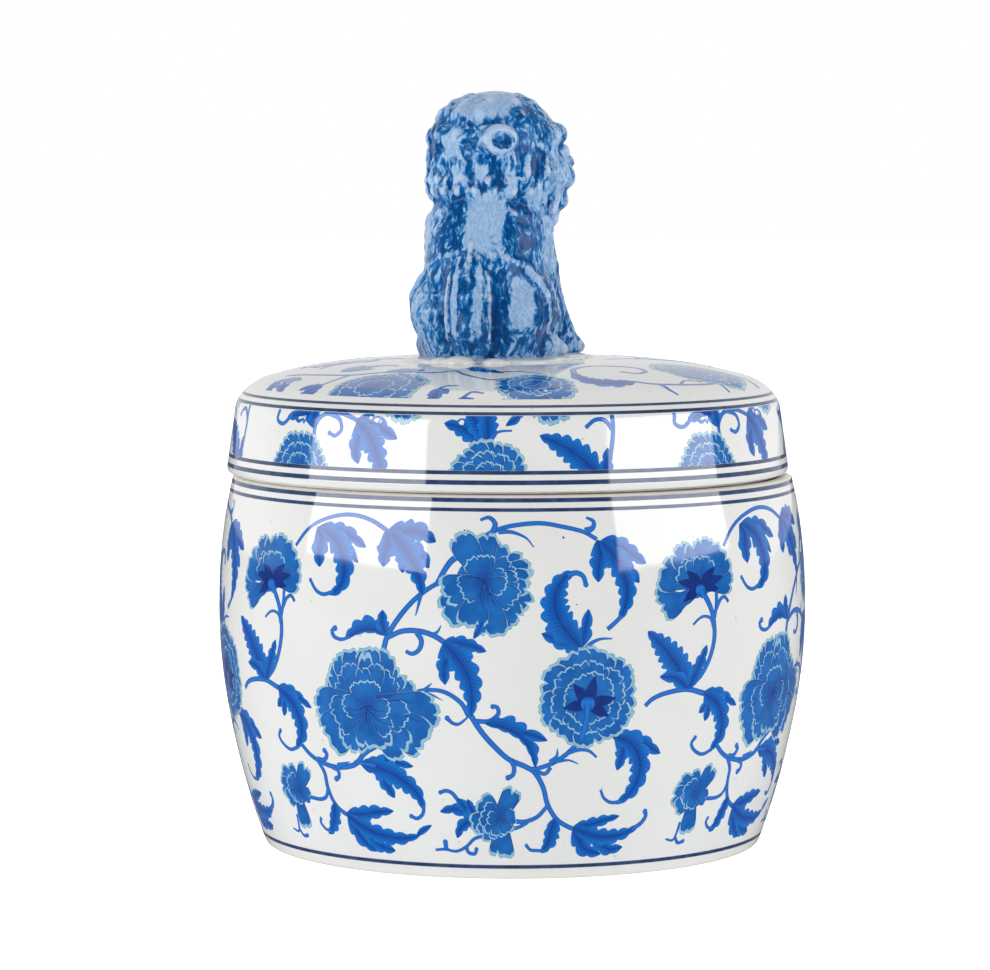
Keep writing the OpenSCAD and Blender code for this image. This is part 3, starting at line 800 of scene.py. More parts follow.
def tones_of(patch_tone, points):
    """(length, across, share of length, style) of points in patches. Both arrays have one row per corner."""
    t, p = patch_tone, points
    d = p - t[:, 1:3]
    along = d[:, 0] * t[:, 3] + d[:, 1] * t[:, 4]
    across = d[:, 0] * t[:, 5] + d[:, 1] * t[:, 6]
    polar = t[:, 0] > 0.5
    far = np.hypot(along, across)
    s = np.where(polar, far, t[:, 7] + along)
    spread = np.where(t[:, 8] > 0, t[:, 8], 1)
    v = np.where(polar, np.arctan2(across, along) / spread, across)
    return np.stack([s, v, s * t[:, 9], t[:, 10]], 1)


COPY = 1000000       # a patch's number goes up by this in the copy one period on, and by twice this one back


def mesh_drawing(drawing, box, grid, period, edge):
    """The painted drawing as flat triangles inside the box: points, triangles, and the patch on top at each."""
    x0, x1, y0, y1 = box
    vertices, faces, owners, outlines = [], [], [], []

    def add(outline, owner):
        start = len(vertices)
        vertices.extend(Vector((float(p[0]), float(p[1]))) for p in outline)
        faces.append(list(range(start, start + len(outline))))
        owners.append(owner)
        outlines.append(outline)

    add(np.array([[x0, y0], [x1, y0], [x1, y1], [x0, y1]]) if edge is None else edge, -1)
    for number, (_, outline, _) in enumerate(drawing.patches):
        for hop in ((0, period, -period) if period else (0,)):
            moved = outline + np.array([hop, 0])
            if moved[:, 0].max() > x0 and moved[:, 0].min() < x1 and moved[:, 1].max() > y0 \
                    and moved[:, 1].min() < y1:
                add(moved, number + COPY * (0 if hop == 0 else (1 if hop > 0 else 2)))
    rng = np.random.default_rng(7)
    for i, gx in enumerate(np.arange(x0 + grid / 2, x1, grid)):
        for gy in np.arange(y0 + grid * (0.25 + 0.5 * (i % 2)), y1, grid):
            vertices.append(Vector((float(gx), float(gy + 0.05 * rng.random()))))
    points, _, tris, _, _, origin = delaunay_2d_cdt(vertices, [], faces, 1, 1e-5, True)
    flat = np.array([(p[0], p[1]) for p in points])
    spans = [(*outline.min(axis=0), *outline.max(axis=0)) for outline in outlines]
    rows, tops = [], []
    for tri, under in zip(tris, origin):
        if len(tri) != 3 or 0 not in under:
            continue
        x, y = flat[tri].mean(axis=0)
        for f in sorted(under, key=lambda f: -(owners[f] % COPY)):
            low_x, low_y, high_x, high_y = spans[f]
            if f and low_x <= x <= high_x and low_y <= y <= high_y:
                rows.append(tri)
                tops.append(owners[f])
                break
    return flat, np.array(rows, np.int64), np.array(tops, np.int64)


def print_films(name, drawing, surface, box, grid, body):
    """Thin closed films of each class of the drawing, laid on a surface of the jar or the lid."""
    flat, tris, tops = mesh_drawing(drawing, box, grid, surface.period, surface.edge)
    rules = np.array([p[2] for p in drawing.patches], float)
    kinds = np.array([p[0] for p in drawing.patches])
    period = surface.period or 0
    number = tops % COPY
    hop = np.array([0, period, -period])[tops // COPY]
    corners = tris.ravel()
    at = flat[corners] - np.stack([np.repeat(hop, 3), np.zeros(len(corners))], 1)
    tone = tones_of(rules[np.repeat(number, 3)], at).reshape(-1, 3, 4)
    for kind, (label, material) in INKS.items():
        mine = kinds[number] == kind
        if not mine.any():
            continue
        part, part_tone = tris[mine], tone[mine]
        copies = range(surface.turns)
        sheet = np.vstack([flat + np.array([k * period, 0]) for k in copies])
        face = np.vstack([part + k * len(flat) for k in copies])
        paint = np.vstack([part_tone for k in copies])
        key = np.round(sheet, 3)
        if period:
            key[:, 0] = np.round(np.mod(key[:, 0] + 1e-4, period * surface.turns), 3)
        used = np.unique(face)
        _, first, back = np.unique(key[used], axis=0, return_index=True, return_inverse=True)
        to_new = np.full(len(sheet), -1)
        to_new[used] = back.ravel()
        points = sheet[used][first]
        face = to_new[face]
        good = (face[:, 0] != face[:, 1]) & (face[:, 1] != face[:, 2]) & (face[:, 0] != face[:, 2])
        face, paint = face[good], paint[good]
        top, normal = surface.lay(points[:, 0], points[:, 1], PRINT_UP)
        low, _ = surface.lay(points[:, 0], points[:, 1], -PRINT_IN)
        count = len(points)
        edges = np.concatenate([face[:, [0, 1]], face[:, [1, 2]], face[:, [2, 0]]])
        edge_tone = np.concatenate([paint[:, [0, 1]], paint[:, [1, 2]], paint[:, [2, 0]]])
        code = edges[:, 0] * count + edges[:, 1]
        rim = ~np.isin(edges[:, 1] * count + edges[:, 0], code)
        a, b = edges[rim, 0], edges[rim, 1]
        sides = np.stack([b, a, a + count, b + count], 1)
        side_tone = edge_tone[rim][:, [1, 0, 0, 1]]
        out = np.cross(top[b] - top[a], normal[a])
        out /= np.maximum(np.linalg.norm(out, axis=1), 1e-9)[:, None]
        corner_normals = np.vstack([normal[face].reshape(-1, 3), -normal[face[:, ::-1]].reshape(-1, 3),
                                    np.repeat(out, 4, axis=0)])
        tones = np.vstack([paint.reshape(-1, 4), paint[:, ::-1].reshape(-1, 4), side_tone.reshape(-1, 4)])
        new_object(f"{name}_{label}", np.vstack([top, low]), [np.vstack([face, face[:, ::-1] + count]), sides],
                   body, material, corner_normals, tones)


def ring_film(name, laid, half, body):
    """A printed line round the jar or lid. laid(across, angle, lift) gives its points."""
    turns = TURNS
    angle = np.arange(turns) * 2 * math.pi / turns
    section = [(-half, PRINT_UP), (half, PRINT_UP), (half, -PRINT_IN), (-half, -PRINT_IN)]
    vertices = np.vstack([laid(np.full(turns, s), angle, lift)[0] for s, lift in section])
    normal = laid(np.zeros(turns), angle, 0)[1]
    index = np.arange(4 * turns).reshape(4, turns)
    quads, normals = [], []
    for k in range(4):
        low, high = index[k], index[(k + 1) % 4]
        quads.append(np.stack([low, high, np.roll(high, -1), np.roll(low, -1)], 1))
    quads = np.vstack(quads)
    for k in range(4):
        if k in (0, 2):
            n = normal * (1 if k == 0 else -1)
        else:
            n = np.tile([0.0, 0.0, -1.0 if k == 1 else 1.0], (turns, 1))
        normals.append(np.stack([n, n, np.roll(n, -1, axis=0), np.roll(n, -1, axis=0)], 1).reshape(-1, 3))
    s = np.repeat(angle * 80, 4).reshape(turns, 4)
    tones = np.zeros((4 * turns * 4, 4))
    tones[:, 0] = np.tile(s.ravel(), 4)
    tones[:, 3] = PLAIN_STYLE
    new_object(name, vertices, [quads], body, LINE_INK, np.vstack(normals), tones)


# ---- materials ----

def srgb(r, g, b):
    """Linear colour from screen values 0 to 255."""
    def lin(v):
        v = v / 255
        return v / 12.92 if v <= 0.04045 else ((v + 0.055) / 1.055) ** 2.4
    return (lin(r), lin(g), lin(b), 1.0)


class Nodes:
    """A small helper that builds one material's node tree."""

    def __init__(self, name):
        self.material = bpy.data.materials.new(name)
        self.material.use_nodes = True
        self.tree = self.material.node_tree
        self.shader = self.tree.nodes["Principled BSDF"]

    def set(self, **values):
        for key, value in values.items():
            self.shader.inputs[key.replace("_", " ")].default_value = value

    def node(self, kind, **settings):
        made = self.tree.nodes.new(kind)
        for key, value in settings.items():
            setattr(made, key, value)
        return made

    def feed(self, socket, value):
        if isinstance(value, bpy.types.NodeSocket):
            self.tree.links.new(value, socket)
        else:
            socket.default_value = value

    def math(self, operation, a, b=0.0, c=0.0):
        made = self.node("ShaderNodeMath", operation=operation)
        for socket, value in zip(made.inputs, (a, b, c)):
            self.feed(socket, value)
        return made.outputs[0]

    def ramp(self, value, low, high, to_low=0.0, to_high=1.0):
        """Smooth step of a value between two limits."""
        made = self.node("ShaderNodeMapRange", interpolation_type="SMOOTHSTEP")
        for socket, v in zip(made.inputs, (value, low, high, to_low, to_high)):
            self.feed(socket, v)
        return made.outputs[0]

    def mix(self, share, a, b):
        made = self.node("ShaderNodeMix", data_type="RGBA")
        self.feed(made.inputs["Factor"], share)
        self.feed(made.inputs["A"], a)
        self.feed(made.inputs["B"], b)
        return made.outputs["Result"]

    def noise(self, scale, detail=2.0, rough=0.5, where=None):
        made = self.node("ShaderNodeTexNoise")
        made.inputs["Scale"].default_value = scale
        made.inputs["Detail"].default_value = detail
        made.inputs["Roughness"].default_value = rough
        self.feed(made.inputs["Vector"], where or self.place())
        return made.outputs["Fac"]

    def place(self):
        if not hasattr(self, "at"):
            self.at = self.node("ShaderNodeTexCoord").outputs["Object"]
        return self.at

    def axis(self, name):
        made = self.node("ShaderNodeSeparateXYZ")
        self.feed(made.inputs[0], self.place())
        return made.outputs[name]

    def tone(self):
        """(length, across, share of length, style) that the print's corners carry."""
        read = self.node("ShaderNodeAttribute", attribute_name="tone")
        parts = self.node("ShaderNodeSeparateXYZ")
        self.feed(parts.inputs[0], read.outputs["Vector"])
        return parts.outputs[0], parts.outputs[1], parts.outputs[2], read.outputs["Alpha"]

    def bump(self, height, strength, distance):
        made = self.node("ShaderNodeBump")
        made.inputs["Strength"].default_value = strength
        made.inputs["Distance"].default_value = distance
        self.feed(made.inputs["Height"], height)
        self.feed(self.shader.inputs["Normal"], made.outputs[0])

    def gloss(self):
        """Fired glaze: almost a mirror, with a faint orange peel."""
        self.feed(self.shader.inputs["Roughness"], self.ramp(self.noise(90, 2), 0.3, 0.75, 0.035, 0.09))
        self.bump(self.noise(55, 1.5), 0.035, 0.0006)
        self.set(IOR=1.72)
        return self.material


def porcelain(name, bare=None):
    """White glazed porcelain. bare has two heights: below the first and above the second is bare cream clay."""
    n = Nodes(name)
    cloud = n.ramp(n.noise(14, 3), 0.35, 0.7)
    white = n.mix(cloud, srgb(238, 239, 237), srgb(233, 234, 231))
    speck = n.ramp(n.noise(420, 1), 0.76, 0.8, 0.0, 0.35)
    white = n.mix(speck, white, srgb(170, 165, 150))
    n.gloss()
    if bare:
        z = n.axis("Z")
        clay = n.math("ADD", n.ramp(z, bare[0] - 0.0002, bare[0] + 0.0002, 1.0, 0.0),
                      n.ramp(z, bare[1] - 0.0002, bare[1] + 0.0003))
        grain = n.mix(n.noise(900, 3), srgb(226, 217, 200), srgb(240, 234, 222))
        white = n.mix(clay, white, grain)
        rough = n.math("MULTIPLY_ADD", clay, 0.3, n.ramp(n.noise(90, 2), 0.3, 0.75, 0.035, 0.09))
        n.feed(n.shader.inputs["Roughness"], rough)
    n.feed(n.shader.inputs["Base Color"], white)
    return n.material


def leaf_print():
    """Leaves and stems: deep at the midrib, bright at the edge, with fine slanting veins."""
    n = Nodes("leaf_print")
    length, across, share, style = n.tone()
    side = n.math("ABSOLUTE", across)
    is_leaf = n.ramp(style, 0.4, 0.6)
    wash = n.ramp(n.noise(300, 2), 0.3, 0.7)
    body = n.mix(n.ramp(side, 0.05, 0.95), srgb(2, 78, 168), srgb(16, 124, 214))
    body = n.mix(n.math("MULTIPLY", wash, 0.35), body, srgb(10, 102, 196))
    body = n.mix(n.ramp(share, 0.0, 0.35, 0.45, 0.0), body, srgb(6, 62, 150))
    phase = n.math("MULTIPLY_ADD", side, -1.7, n.math("MULTIPLY", length, 0.95))
    vein = n.ramp(n.math("SINE", n.math("MULTIPLY", phase, 2 * math.pi)), 0.35, 0.95)
    body = n.mix(n.math("MULTIPLY", vein, 0.42), body, srgb(4, 54, 138))
    body = n.mix(n.ramp(side, 0.03, 0.09, 0.65, 0.0), body, srgb(4, 46, 128))
    stalk = n.mix(n.ramp(side, 0.35, 1.0), srgb(34, 116, 208), srgb(14, 78, 166))
    n.feed(n.shader.inputs["Base Color"], n.mix(is_leaf, stalk, body))
    return n.gloss()


def petal_print():
    """Petals: mid cobalt with soft folds that run out from the heart."""
    n = Nodes("petal_print")
    _, across, share, _ = n.tone()
    wash = n.ramp(n.noise(170, 3), 0.3, 0.7)
    body = n.mix(wash, srgb(12, 92, 172), srgb(30, 112, 192))
    body = n.mix(n.ramp(share, 0.15, 0.6, 0.55, 0.0), body, srgb(8, 58, 150))
    fold = n.ramp(n.math("COSINE", n.math("MULTIPLY", across, 9.0)), 0.86, 1.0)
    body = n.mix(n.math("MULTIPLY", fold, n.ramp(share, 0.3, 0.8, 0.45, 0.0)), body, srgb(6, 44, 128))
    n.feed(n.shader.inputs["Base Color"], body)
    return n.gloss()


def flat_print(name, colour, other):
    """Ink of two close colours in soft clouds."""
    n = Nodes(name)
    n.feed(n.shader.inputs["Base Color"], n.mix(n.ramp(n.noise(260, 3), 0.3, 0.7), colour, other))
    return n.gloss()


def line_print():
    """The printed border lines: navy, with slight breaks in the ink's density."""
    n = Nodes("line_print")
    ink = n.mix(n.ramp(n.noise(240, 4), 0.35, 0.7), srgb(36, 56, 98), srgb(56, 80, 122))
    n.feed(n.shader.inputs["Base Color"], ink)
    return n.gloss()


# ---- the jar and the lid ----

GLAZE = porcelain("white_glaze")
JAR_GLAZE = porcelain("jar_glaze", (BARE_FOOT * MM, BARE_RIM * MM))
LEAF_INK, PETAL_INK = leaf_print(), petal_print()
PALE_INK = flat_print("pale_print", srgb(138, 188, 216), srgb(158, 200, 222))
DARK_INK = flat_print("dark_print", srgb(6, 52, 138), srgb(8, 44, 120))
HALO_INK = flat_print("halo_print", srgb(128, 168, 184), srgb(150, 186, 198))
LINE_INK = line_print()
INKS = {LEAF: ("leaves", LEAF_INK), PETAL: ("petals", PETAL_INK), PALE: ("petal_edges", PALE_INK),
        DARK: ("creases", DARK_INK), HALO: ("halos", HALO_INK)}


def make_jar():
    vertices, faces = lathe(JAR)
    jar = new_object("jar", vertices, faces, "jar", JAR_GLAZE)
    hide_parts("jar_body")
    motif = Drawing()
    wall_motif(motif)
    half = Wall.period / 2
    print_films("jar_print", motif, Wall, (-half, half, *WALL_PRINT_Z), WALL_GRID, "jar")
    for label, z, width in JAR_LINES:
        ring_film(f"jar_line_{label}",
                  lambda across, a, lift, z=z: Wall.lay(a * WALL_R, z - across, lift), width / 2, "jar")


def make_lid():
    vertices, faces = lathe(lid_full_profile())
    vertices[:, 0] += LID_X
    lid = new_object("lid", vertices, faces, "lid", GLAZE)
    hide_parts("lid_dome")
    band = Drawing()
    band_motif(band)
    half = Band.period / 2
    print_films("lid_band_print", band, Band, (-half, half, *BAND_PRINT_Z), BAND_GRID, "lid")
    top = Drawing()
    for turn in (0, 180):
        top.turned(turn)
        lid_motif(top)
    reach = TOP_EDGE + 1
    print_films("lid_top_print", top, Top, (-reach, reach, -reach, reach), TOP_GRID, "lid")
    for label, z, width in LID_LINES:
        run = float(np.interp(z, LID[10:60, 1], LID_RUN[10:60]))
        ring_film(f"lid_line_{label}",
                  lambda across, a, lift, run=run: on_lid_profile(run - across, a, lift), width / 2, "lid")
    ring = rounded([(FLANGE_R - 3.9, JAR_H - 0.1, 0), (FLANGE_R - 3.9, FLANGE_Z + 0.1, 1.6),
                    (FLANGE_R - 0.1, FLANGE_Z + 0.1, 1.6), (FLANGE_R - 0.1, JAR_H - 0.1, 0)], 8)
    vertices, faces = lathe(dense(ring, 1.2))
    vertices[:, 0] += LID_X
    flange = new_object("lid_locating_ring", vertices, faces, "lid_carrier", GLAZE)
    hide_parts("lid_flange")


# ---- the lion: a clay-like field of distances, meshed at the end ----

HEAD_TURN = 56
HEAD_X, HEAD_Y = 3.2, 4.8
LION_TURN = 14
LION_LEFT, LION_BACK = 5.3, 3.0
CURL_SOFT, CURL_PITCH, CURL_DEPTH = 2.0, 2.9, 0.75    # a curl's blend, and its groove's spacing and depth
# Locks of the tail: sideways place, thickness, load of blue
TAIL_LOCKS = ((-6.4, 1.0, 0.35), (-3.6, 1.6, 0.0), (0.2, 1.3, 0.9), (3.4, 1.7, 0.15), (5.9, 1.0, 0.5))


class Clay:
    """A grid of distances in the lion's own frame: +Y forward, +X its right, feet on z = 0."""

    def __init__(self, low, high, step):
        self.step = step
        self.axes = [np.arange(a, b, step) for a, b in zip(low, high)]
        self.field = np.full([len(a) for a in self.axes], 50.0, np.float32)

    def block(self, low, high):
        """The part of the grid between two corners: its slices and its coordinates."""
        cut = []
        for axis, a, b in zip(self.axes, low, high):
            i, j = np.searchsorted(axis, (a, b))
            cut.append(slice(max(i - 1, 0), min(j + 1, len(axis))))
        cut = tuple(cut)
        return cut, np.meshgrid(*[axis[c] for axis, c in zip(self.axes, cut)], indexing="ij", sparse=True)

    def add(self, cut, d, soft):
        """Joins a shape on, with a blend of radius soft."""
        f = self.field[cut]
        h = np.clip(0.5 + 0.5 * (d - f) / soft, 0, 1)
        self.field[cut] = d * (1 - h) + f * h - soft * h * (1 - h)

    def carve(self, cut, d, soft):
        """Cuts a shape out, with a blend of radius soft."""
        f = self.field[cut]
        d = -d
        h = np.clip(0.5 - 0.5 * (d - f) / soft, 0, 1)
        self.field[cut] = d * (1 - h) + f * h + soft * h * (1 - h)

    def limb(self, points, soft):
        """Blobs (x, y, z, radius) joined one to the next."""
        for p, q in zip(points[:-1], points[1:]):
            p, q = np.array(p, float), np.array(q, float)
            pad = max(p[3], q[3]) + soft + 1.5
            cut, (x, y, z) = self.block(np.minimum(p, q)[:3] - pad, np.maximum(p, q)[:3] + pad)
            way = q[:3] - p[:3]
            t = np.clip(((x - p[0]) * way[0] + (y - p[1]) * way[1] + (z - p[2]) * way[2])
                        / max(way @ way, 1e-9), 0, 1)
            d = np.sqrt((x - p[0] - t * way[0]) ** 2 + (y - p[1] - t * way[1]) ** 2
                        + (z - p[2] - t * way[2]) ** 2) - (p[3] + t * (q[3] - p[3]))
            self.add(cut, d, soft)

    def egg(self, centre, radii, soft, turn=0.0, away=False):
        """An ellipsoid turned about the vertical, in degrees clockwise from above. away cuts it out instead."""
        centre, radii = np.array(centre, float), np.array(radii, float)
        pad = radii.max() + soft + 1.5
        cut, (x, y, z) = self.block(centre - pad, centre + pad)
        a = math.radians(turn)
        u = (x - centre[0]) * math.cos(a) - (y - centre[1]) * math.sin(a)
        v = (x - centre[0]) * math.sin(a) + (y - centre[1]) * math.cos(a)
        w = z - centre[2]
        k0 = np.sqrt((u / radii[0]) ** 2 + (v / radii[1]) ** 2 + (w / radii[2]) ** 2)
        k1 = np.sqrt((u / radii[0] ** 2) ** 2 + (v / radii[1] ** 2) ** 2 + (w / radii[2] ** 2) ** 2)
        d = k0 * (k0 - 1) / np.maximum(k1, 1e-6)
        (self.carve if away else self.add)(cut, d, soft)

    def curl(self, centre, normal, r, hand):
        """A snail-shaped curl of the mane that faces along normal. hand is 1 or -1, the way it winds."""
        centre, normal = np.array(centre, float), np.array(normal, float)
        normal /= np.linalg.norm(normal)
        side = np.cross((0, 0, 1.0), normal)
        side /= np.linalg.norm(side)
        over = np.cross(normal, side)
        pad = r + CURL_SOFT + 1.5
        cut, (x, y, z) = self.block(centre - pad, centre + pad)
        dx, dy, dz = x - centre[0], y - centre[1], z - centre[2]
        u = dx * side[0] + dy * side[1] + dz * side[2]
        v = dx * over[0] + dy * over[1] + dz * over[2]
        d = np.sqrt(dx ** 2 + dy ** 2 + dz ** 2) - r
        out = np.sqrt(u ** 2 + v ** 2)
        wave = 0.5 - 0.5 * np.cos(2 * math.pi * out / CURL_PITCH - hand * np.arctan2(v, u))
        self.add(cut, d + CURL_DEPTH * wave * np.clip(out / CURL_PITCH, 0, 1), CURL_SOFT)

    def surface(self):
        """Vertices and quads where the field crosses nought, one vertex to a cell."""
        f = self.field
        inside = f < 0
        shape = np.array(f.shape) - 1
        total = np.zeros(tuple(shape) + (3,), np.float32)
        count = np.zeros(tuple(shape), np.float32)
        crossings = []
        for axis in range(3):
            lo = [slice(None)] * 3
            hi = [slice(None)] * 3
            lo[axis], hi[axis] = slice(0, -1), slice(1, None)
            a, b = f[tuple(lo)], f[tuple(hi)]
            cross = inside[tuple(lo)] != inside[tuple(hi)]
            at = np.argwhere(cross)
            fa, fb = a[cross], b[cross]
            t = fa / (fa - fb)
            crossings.append((axis, at, inside[tuple(lo)][cross]))
            spot = at.astype(np.float32)
            spot[:, axis] += t
            others = [k for k in range(3) if k != axis]
            for i in (0, 1):
                for j in (0, 1):
                    cell = at.copy()
                    cell[:, others[0]] -= i
                    cell[:, others[1]] -= j
                    ok = np.all((cell >= 0) & (cell < shape), axis=1)
                    c = cell[ok]
                    np.add.at(total, (c[:, 0], c[:, 1], c[:, 2]), spot[ok])
                    np.add.at(count, (c[:, 0], c[:, 1], c[:, 2]), 1)
        used = count > 0
        number = np.full(tuple(shape), -1, np.int64)
        number[used] = np.arange(used.sum())
        grid_at = total[used] / count[used][:, None]
        quads = []
        for axis, at, starts_inside in crossings:
            others = [(axis + 1) % 3, (axis + 2) % 3]
            ok = np.all(at[:, others] > 0, axis=1) & np.all(at[:, others] < shape[others], axis=1)
            at, starts_inside = at[ok], starts_inside[ok]
            corner = []
            for i, j in ((1, 1), (0, 1), (0, 0), (1, 0)):
                cell = at.copy()
                cell[:, others[0]] -= i
                cell[:, others[1]] -= j
                corner.append(number[cell[:, 0], cell[:, 1], cell[:, 2]])
            quad = np.stack(corner, 1)
            quads.append(np.where(starts_inside[:, None], quad, quad[:, ::-1]))
        low = np.array([a[0] for a in self.axes])
        return grid_at * self.step + low, np.vstack(quads), grid_at

    def ridges(self, grid_at, reach):
        """How far each vertex stands out from its neighbourhood: above nought on ridges, below in hollows."""
        f = np.clip(self.field, -4, 4)
        for axis in range(3):
            padded = np.concatenate([np.take(f, [0] * (reach + 1), axis), f,
                                     np.take(f, [-1] * reach, axis)], axis)
            total = np.cumsum(padded, axis=axis, dtype=np.float64)
            n = f.shape[axis]
            upper = np.take(total, np.arange(2 * reach + 1, 2 * reach + 1 + n), axis)
            lower = np.take(total, np.arange(0, n), axis)
            f = ((upper - lower) / (2 * reach + 1)).astype(np.float32)
        i = np.clip(np.round(grid_at).astype(int), 0, np.array(f.shape) - 1)
        return f[i[:, 0], i[:, 1], i[:, 2]] - self.field[i[:, 0], i[:, 1], i[:, 2]]


def of_head(x, y, z, *rest):
    """A point of the head's own frame, whose face looks along its +Y, in the lion's frame."""
    a = math.radians(HEAD_TURN)
    return (x * math.cos(a) + y * math.sin(a) + HEAD_X, -x * math.sin(a) + y * math.cos(a) + HEAD_Y, z, *rest)


def head_way(x, y, z):
    """A direction of the head's own frame, in the lion's frame."""
    return np.array(of_head(x, y, z)) - np.array(of_head(0, 0, 0))


def both(points):
    """The same blobs on the lion's right and left."""
    return [[(side * p[0], *p[1:]) for p in points] for side in (1, -1)]


# The ridge over each haunch: x, y, z and radius
HAUNCH_RIM = ((18.6, -4.6, 6.5, 0.4), (20.4, -11.2, 11.5, 0.7), (20.2, -13.0, 18.6, 0.9), (17.5, -13.4, 23.4, 1.0),
              (14.1, -15.9, 27.2, 1.0), (9.4, -19.4, 29.8, 0.8), (4.4, -21.2, 31.0, 0.5))


def model_body(c):
    """Trunk, shoulders, haunches with their ridges, forelegs and paws."""
    c.limb([(0, -8, 15, 17.6), (0, -6, 24, 17.4), (0, -2, 34, 17.0), (0, 1, 44, 16)], 4)
    c.limb([(0, 4, 28, 12), (0, 8, 38, 12), (0, 6, 47, 12)], 5)
    for shoulder in both([(6, -2, 36, 11.8), (6.4, 3, 26, 10.4)]):
        c.limb(shoulder, 4)
    for thigh in both([(9.6, -13, 13, 10.9), (11.2, -8, 17, 10.7), (12.8, 0, 12, 8.8)]):
        c.limb(thigh, 0.8)
    for rump in both([(11.2, -10, 4, 7.2), (7.6, -15.5, 4.5, 7.4)]):
        c.limb(rump, 3)
    for side in (1, -1):
        c.limb([(side * x, y, z, r) for x, y, z, r in HAUNCH_RIM], 1.4)
    for foot in both([(15, -6, 4, 6), (16, 0, 3.6, 4.8), (16.6, 3, 3.2, 4.4)]):
        c.limb(foot, 1.5)
    for side, spread in ((1, 1.0), (-1, 0.8)):
        def out(points, soft):
            c.limb([(side * spread * p[0], *p[1:]) for p in points], soft)
        out([(9.3, 6, 38, 7.8), (11.2, 11, 28, 5.9), (13.2, 15, 16, 5.0), (15.8, 21, 6.5, 5.0)], 1.4)
        out([(16, 21, 4.5, 5.2), (17, 24.5, 3.4, 4.6)], 1.5)
        for toe in (-1, 0, 1):
            out([(17.2 + toe * 2.9, 24.2, 3.2, 2.4), (17.4 + toe * 3.2, 28, 2.2, 2.0)], 0.8)
        out([(16.2, 10.2, 36, 0.6), (16.6, 14.6, 27, 0.8), (17.6, 17, 17, 0.7), (19.6, 21.4, 8, 0.6)], 1.2)
    for toe in (-1, 0, 1):
        for part in both([(17 + toe * 2.9, 3.5, 3.0, 2.3), (17 + toe * 3.1, 7.4, 2.2, 2.0)]):
            c.limb(part, 0.8)


def model_fur(c):
    """Short locks in rows down the flanks, each like a comma."""
    rows = []
    for k in range(5):
        for j in range(3):
            rows.append(((9.3 + 3.0 * j, -14.7 + 3.3 * j, 44 - 3.7 * k - 0.8 * j), (2.2, 2.2, -2.6), 0.9))
    for k in range(4):
        rows.append(((17.2, -2 + 0.6 * k, 41 - 4 * k), (1.2, 3.2, -2.8), 0.9))
    for at, way, r in rows:
        at, way = np.array(at), np.array(way)
        for side in (1, -1):
            mirror = np.array((side, 1, 1))
            p, q, t = at * mirror, (at + 0.55 * way) * mirror, (at + 1.15 * way) * mirror
            c.limb([(*p, r * 0.6), (*q, r), (*t, r * 0.5)], 1.8)


def model_tail(c):
    """An upright flame of locks laid against the back."""
    c.limb([(0, -22.4, 3, 5.0), (0, -23.8, 10, 5.8), (0, -23.8, 18, 5.8), (0, -22.0, 26, 4.2),
            (0, -19.6, 32, 2.4)], 1.2)
    for mid, thick, _ in TAIL_LOCKS:
        deep = -27.4 + 0.36 * abs(mid)
        c.limb([(mid * 0.86, deep + 2.6, 3.4, 0.5), (mid * 0.98, deep + 0.4, 7, thick * 0.8),
                (mid, deep - 0.2, 12, thick), (mid, deep, 18, thick), (mid * 0.9, deep + 0.8, 24, thick * 0.9),
                (mid * 0.62, deep + 2.6, 29.5, thick * 0.8), (mid * 0.18, deep + 5.4, 34.5, 0.7)], 0.5)


def model_ear(c, side):
    """A folded ear with a deep hollow."""
    turn = HEAD_TURN
    c.egg(of_head(side * 17.8, -8.1, 64.4), (3.9, 6.0, 4.7), 0.7, turn)
    c.egg(of_head(side * 21.6, -8.1, 64.4), (2.5, 4.3, 3.1), 0.4, turn, away=True)
    c.egg(of_head(side * 19.3, -8.8, 65.1), (1.1, 2.6, 1.2), 0.3, turn)


def model_face(c, side):
    """One half of the face: muzzle, cheek, brow, eye with its lids, and the corner of the mouth."""
    turn = HEAD_TURN
    c.egg(of_head(side * 4.8, 15.2, 53.6), (5.6, 5.2, 4.6), 1.4, turn)
    c.egg(of_head(side * 2.6, 19.4, 57.8), (1.8, 1.9, 1.5), 0.8, turn)
    c.egg(of_head(side * 11.2, 11.2, 54.4), (5.2, 5.2, 5.6), 1.6, turn)
    c.limb([of_head(side * 2.4, 15.4, 64.4, 2.4), of_head(side * 7.4, 13.8, 66.2, 2.9),
            of_head(side * 12.4, 9.6, 65.2, 2.8), of_head(side * 15.4, 5.2, 62.4, 1.8)], 1.6)
    c.egg(of_head(side * 7.2, 16.6, 60.8), (4.4, 3.4, 2.9), 0.8, turn, away=True)
    c.egg(of_head(side * 7.2, 14.0, 60.8), (3.7, 3.9, 3.1), 0.3, turn)
    c.limb([of_head(side * 3.2, 16.6, 59.8, 0.6), of_head(side * 7.2, 16.8, 57.9, 0.7),
            of_head(side * 11, 13.6, 59.6, 0.6)], 0.5)
    c.limb([of_head(side * 12.4, 11.8, 49.6, 1.9), of_head(side * 12.8, 10.4, 44, 1.6)], 1.0)


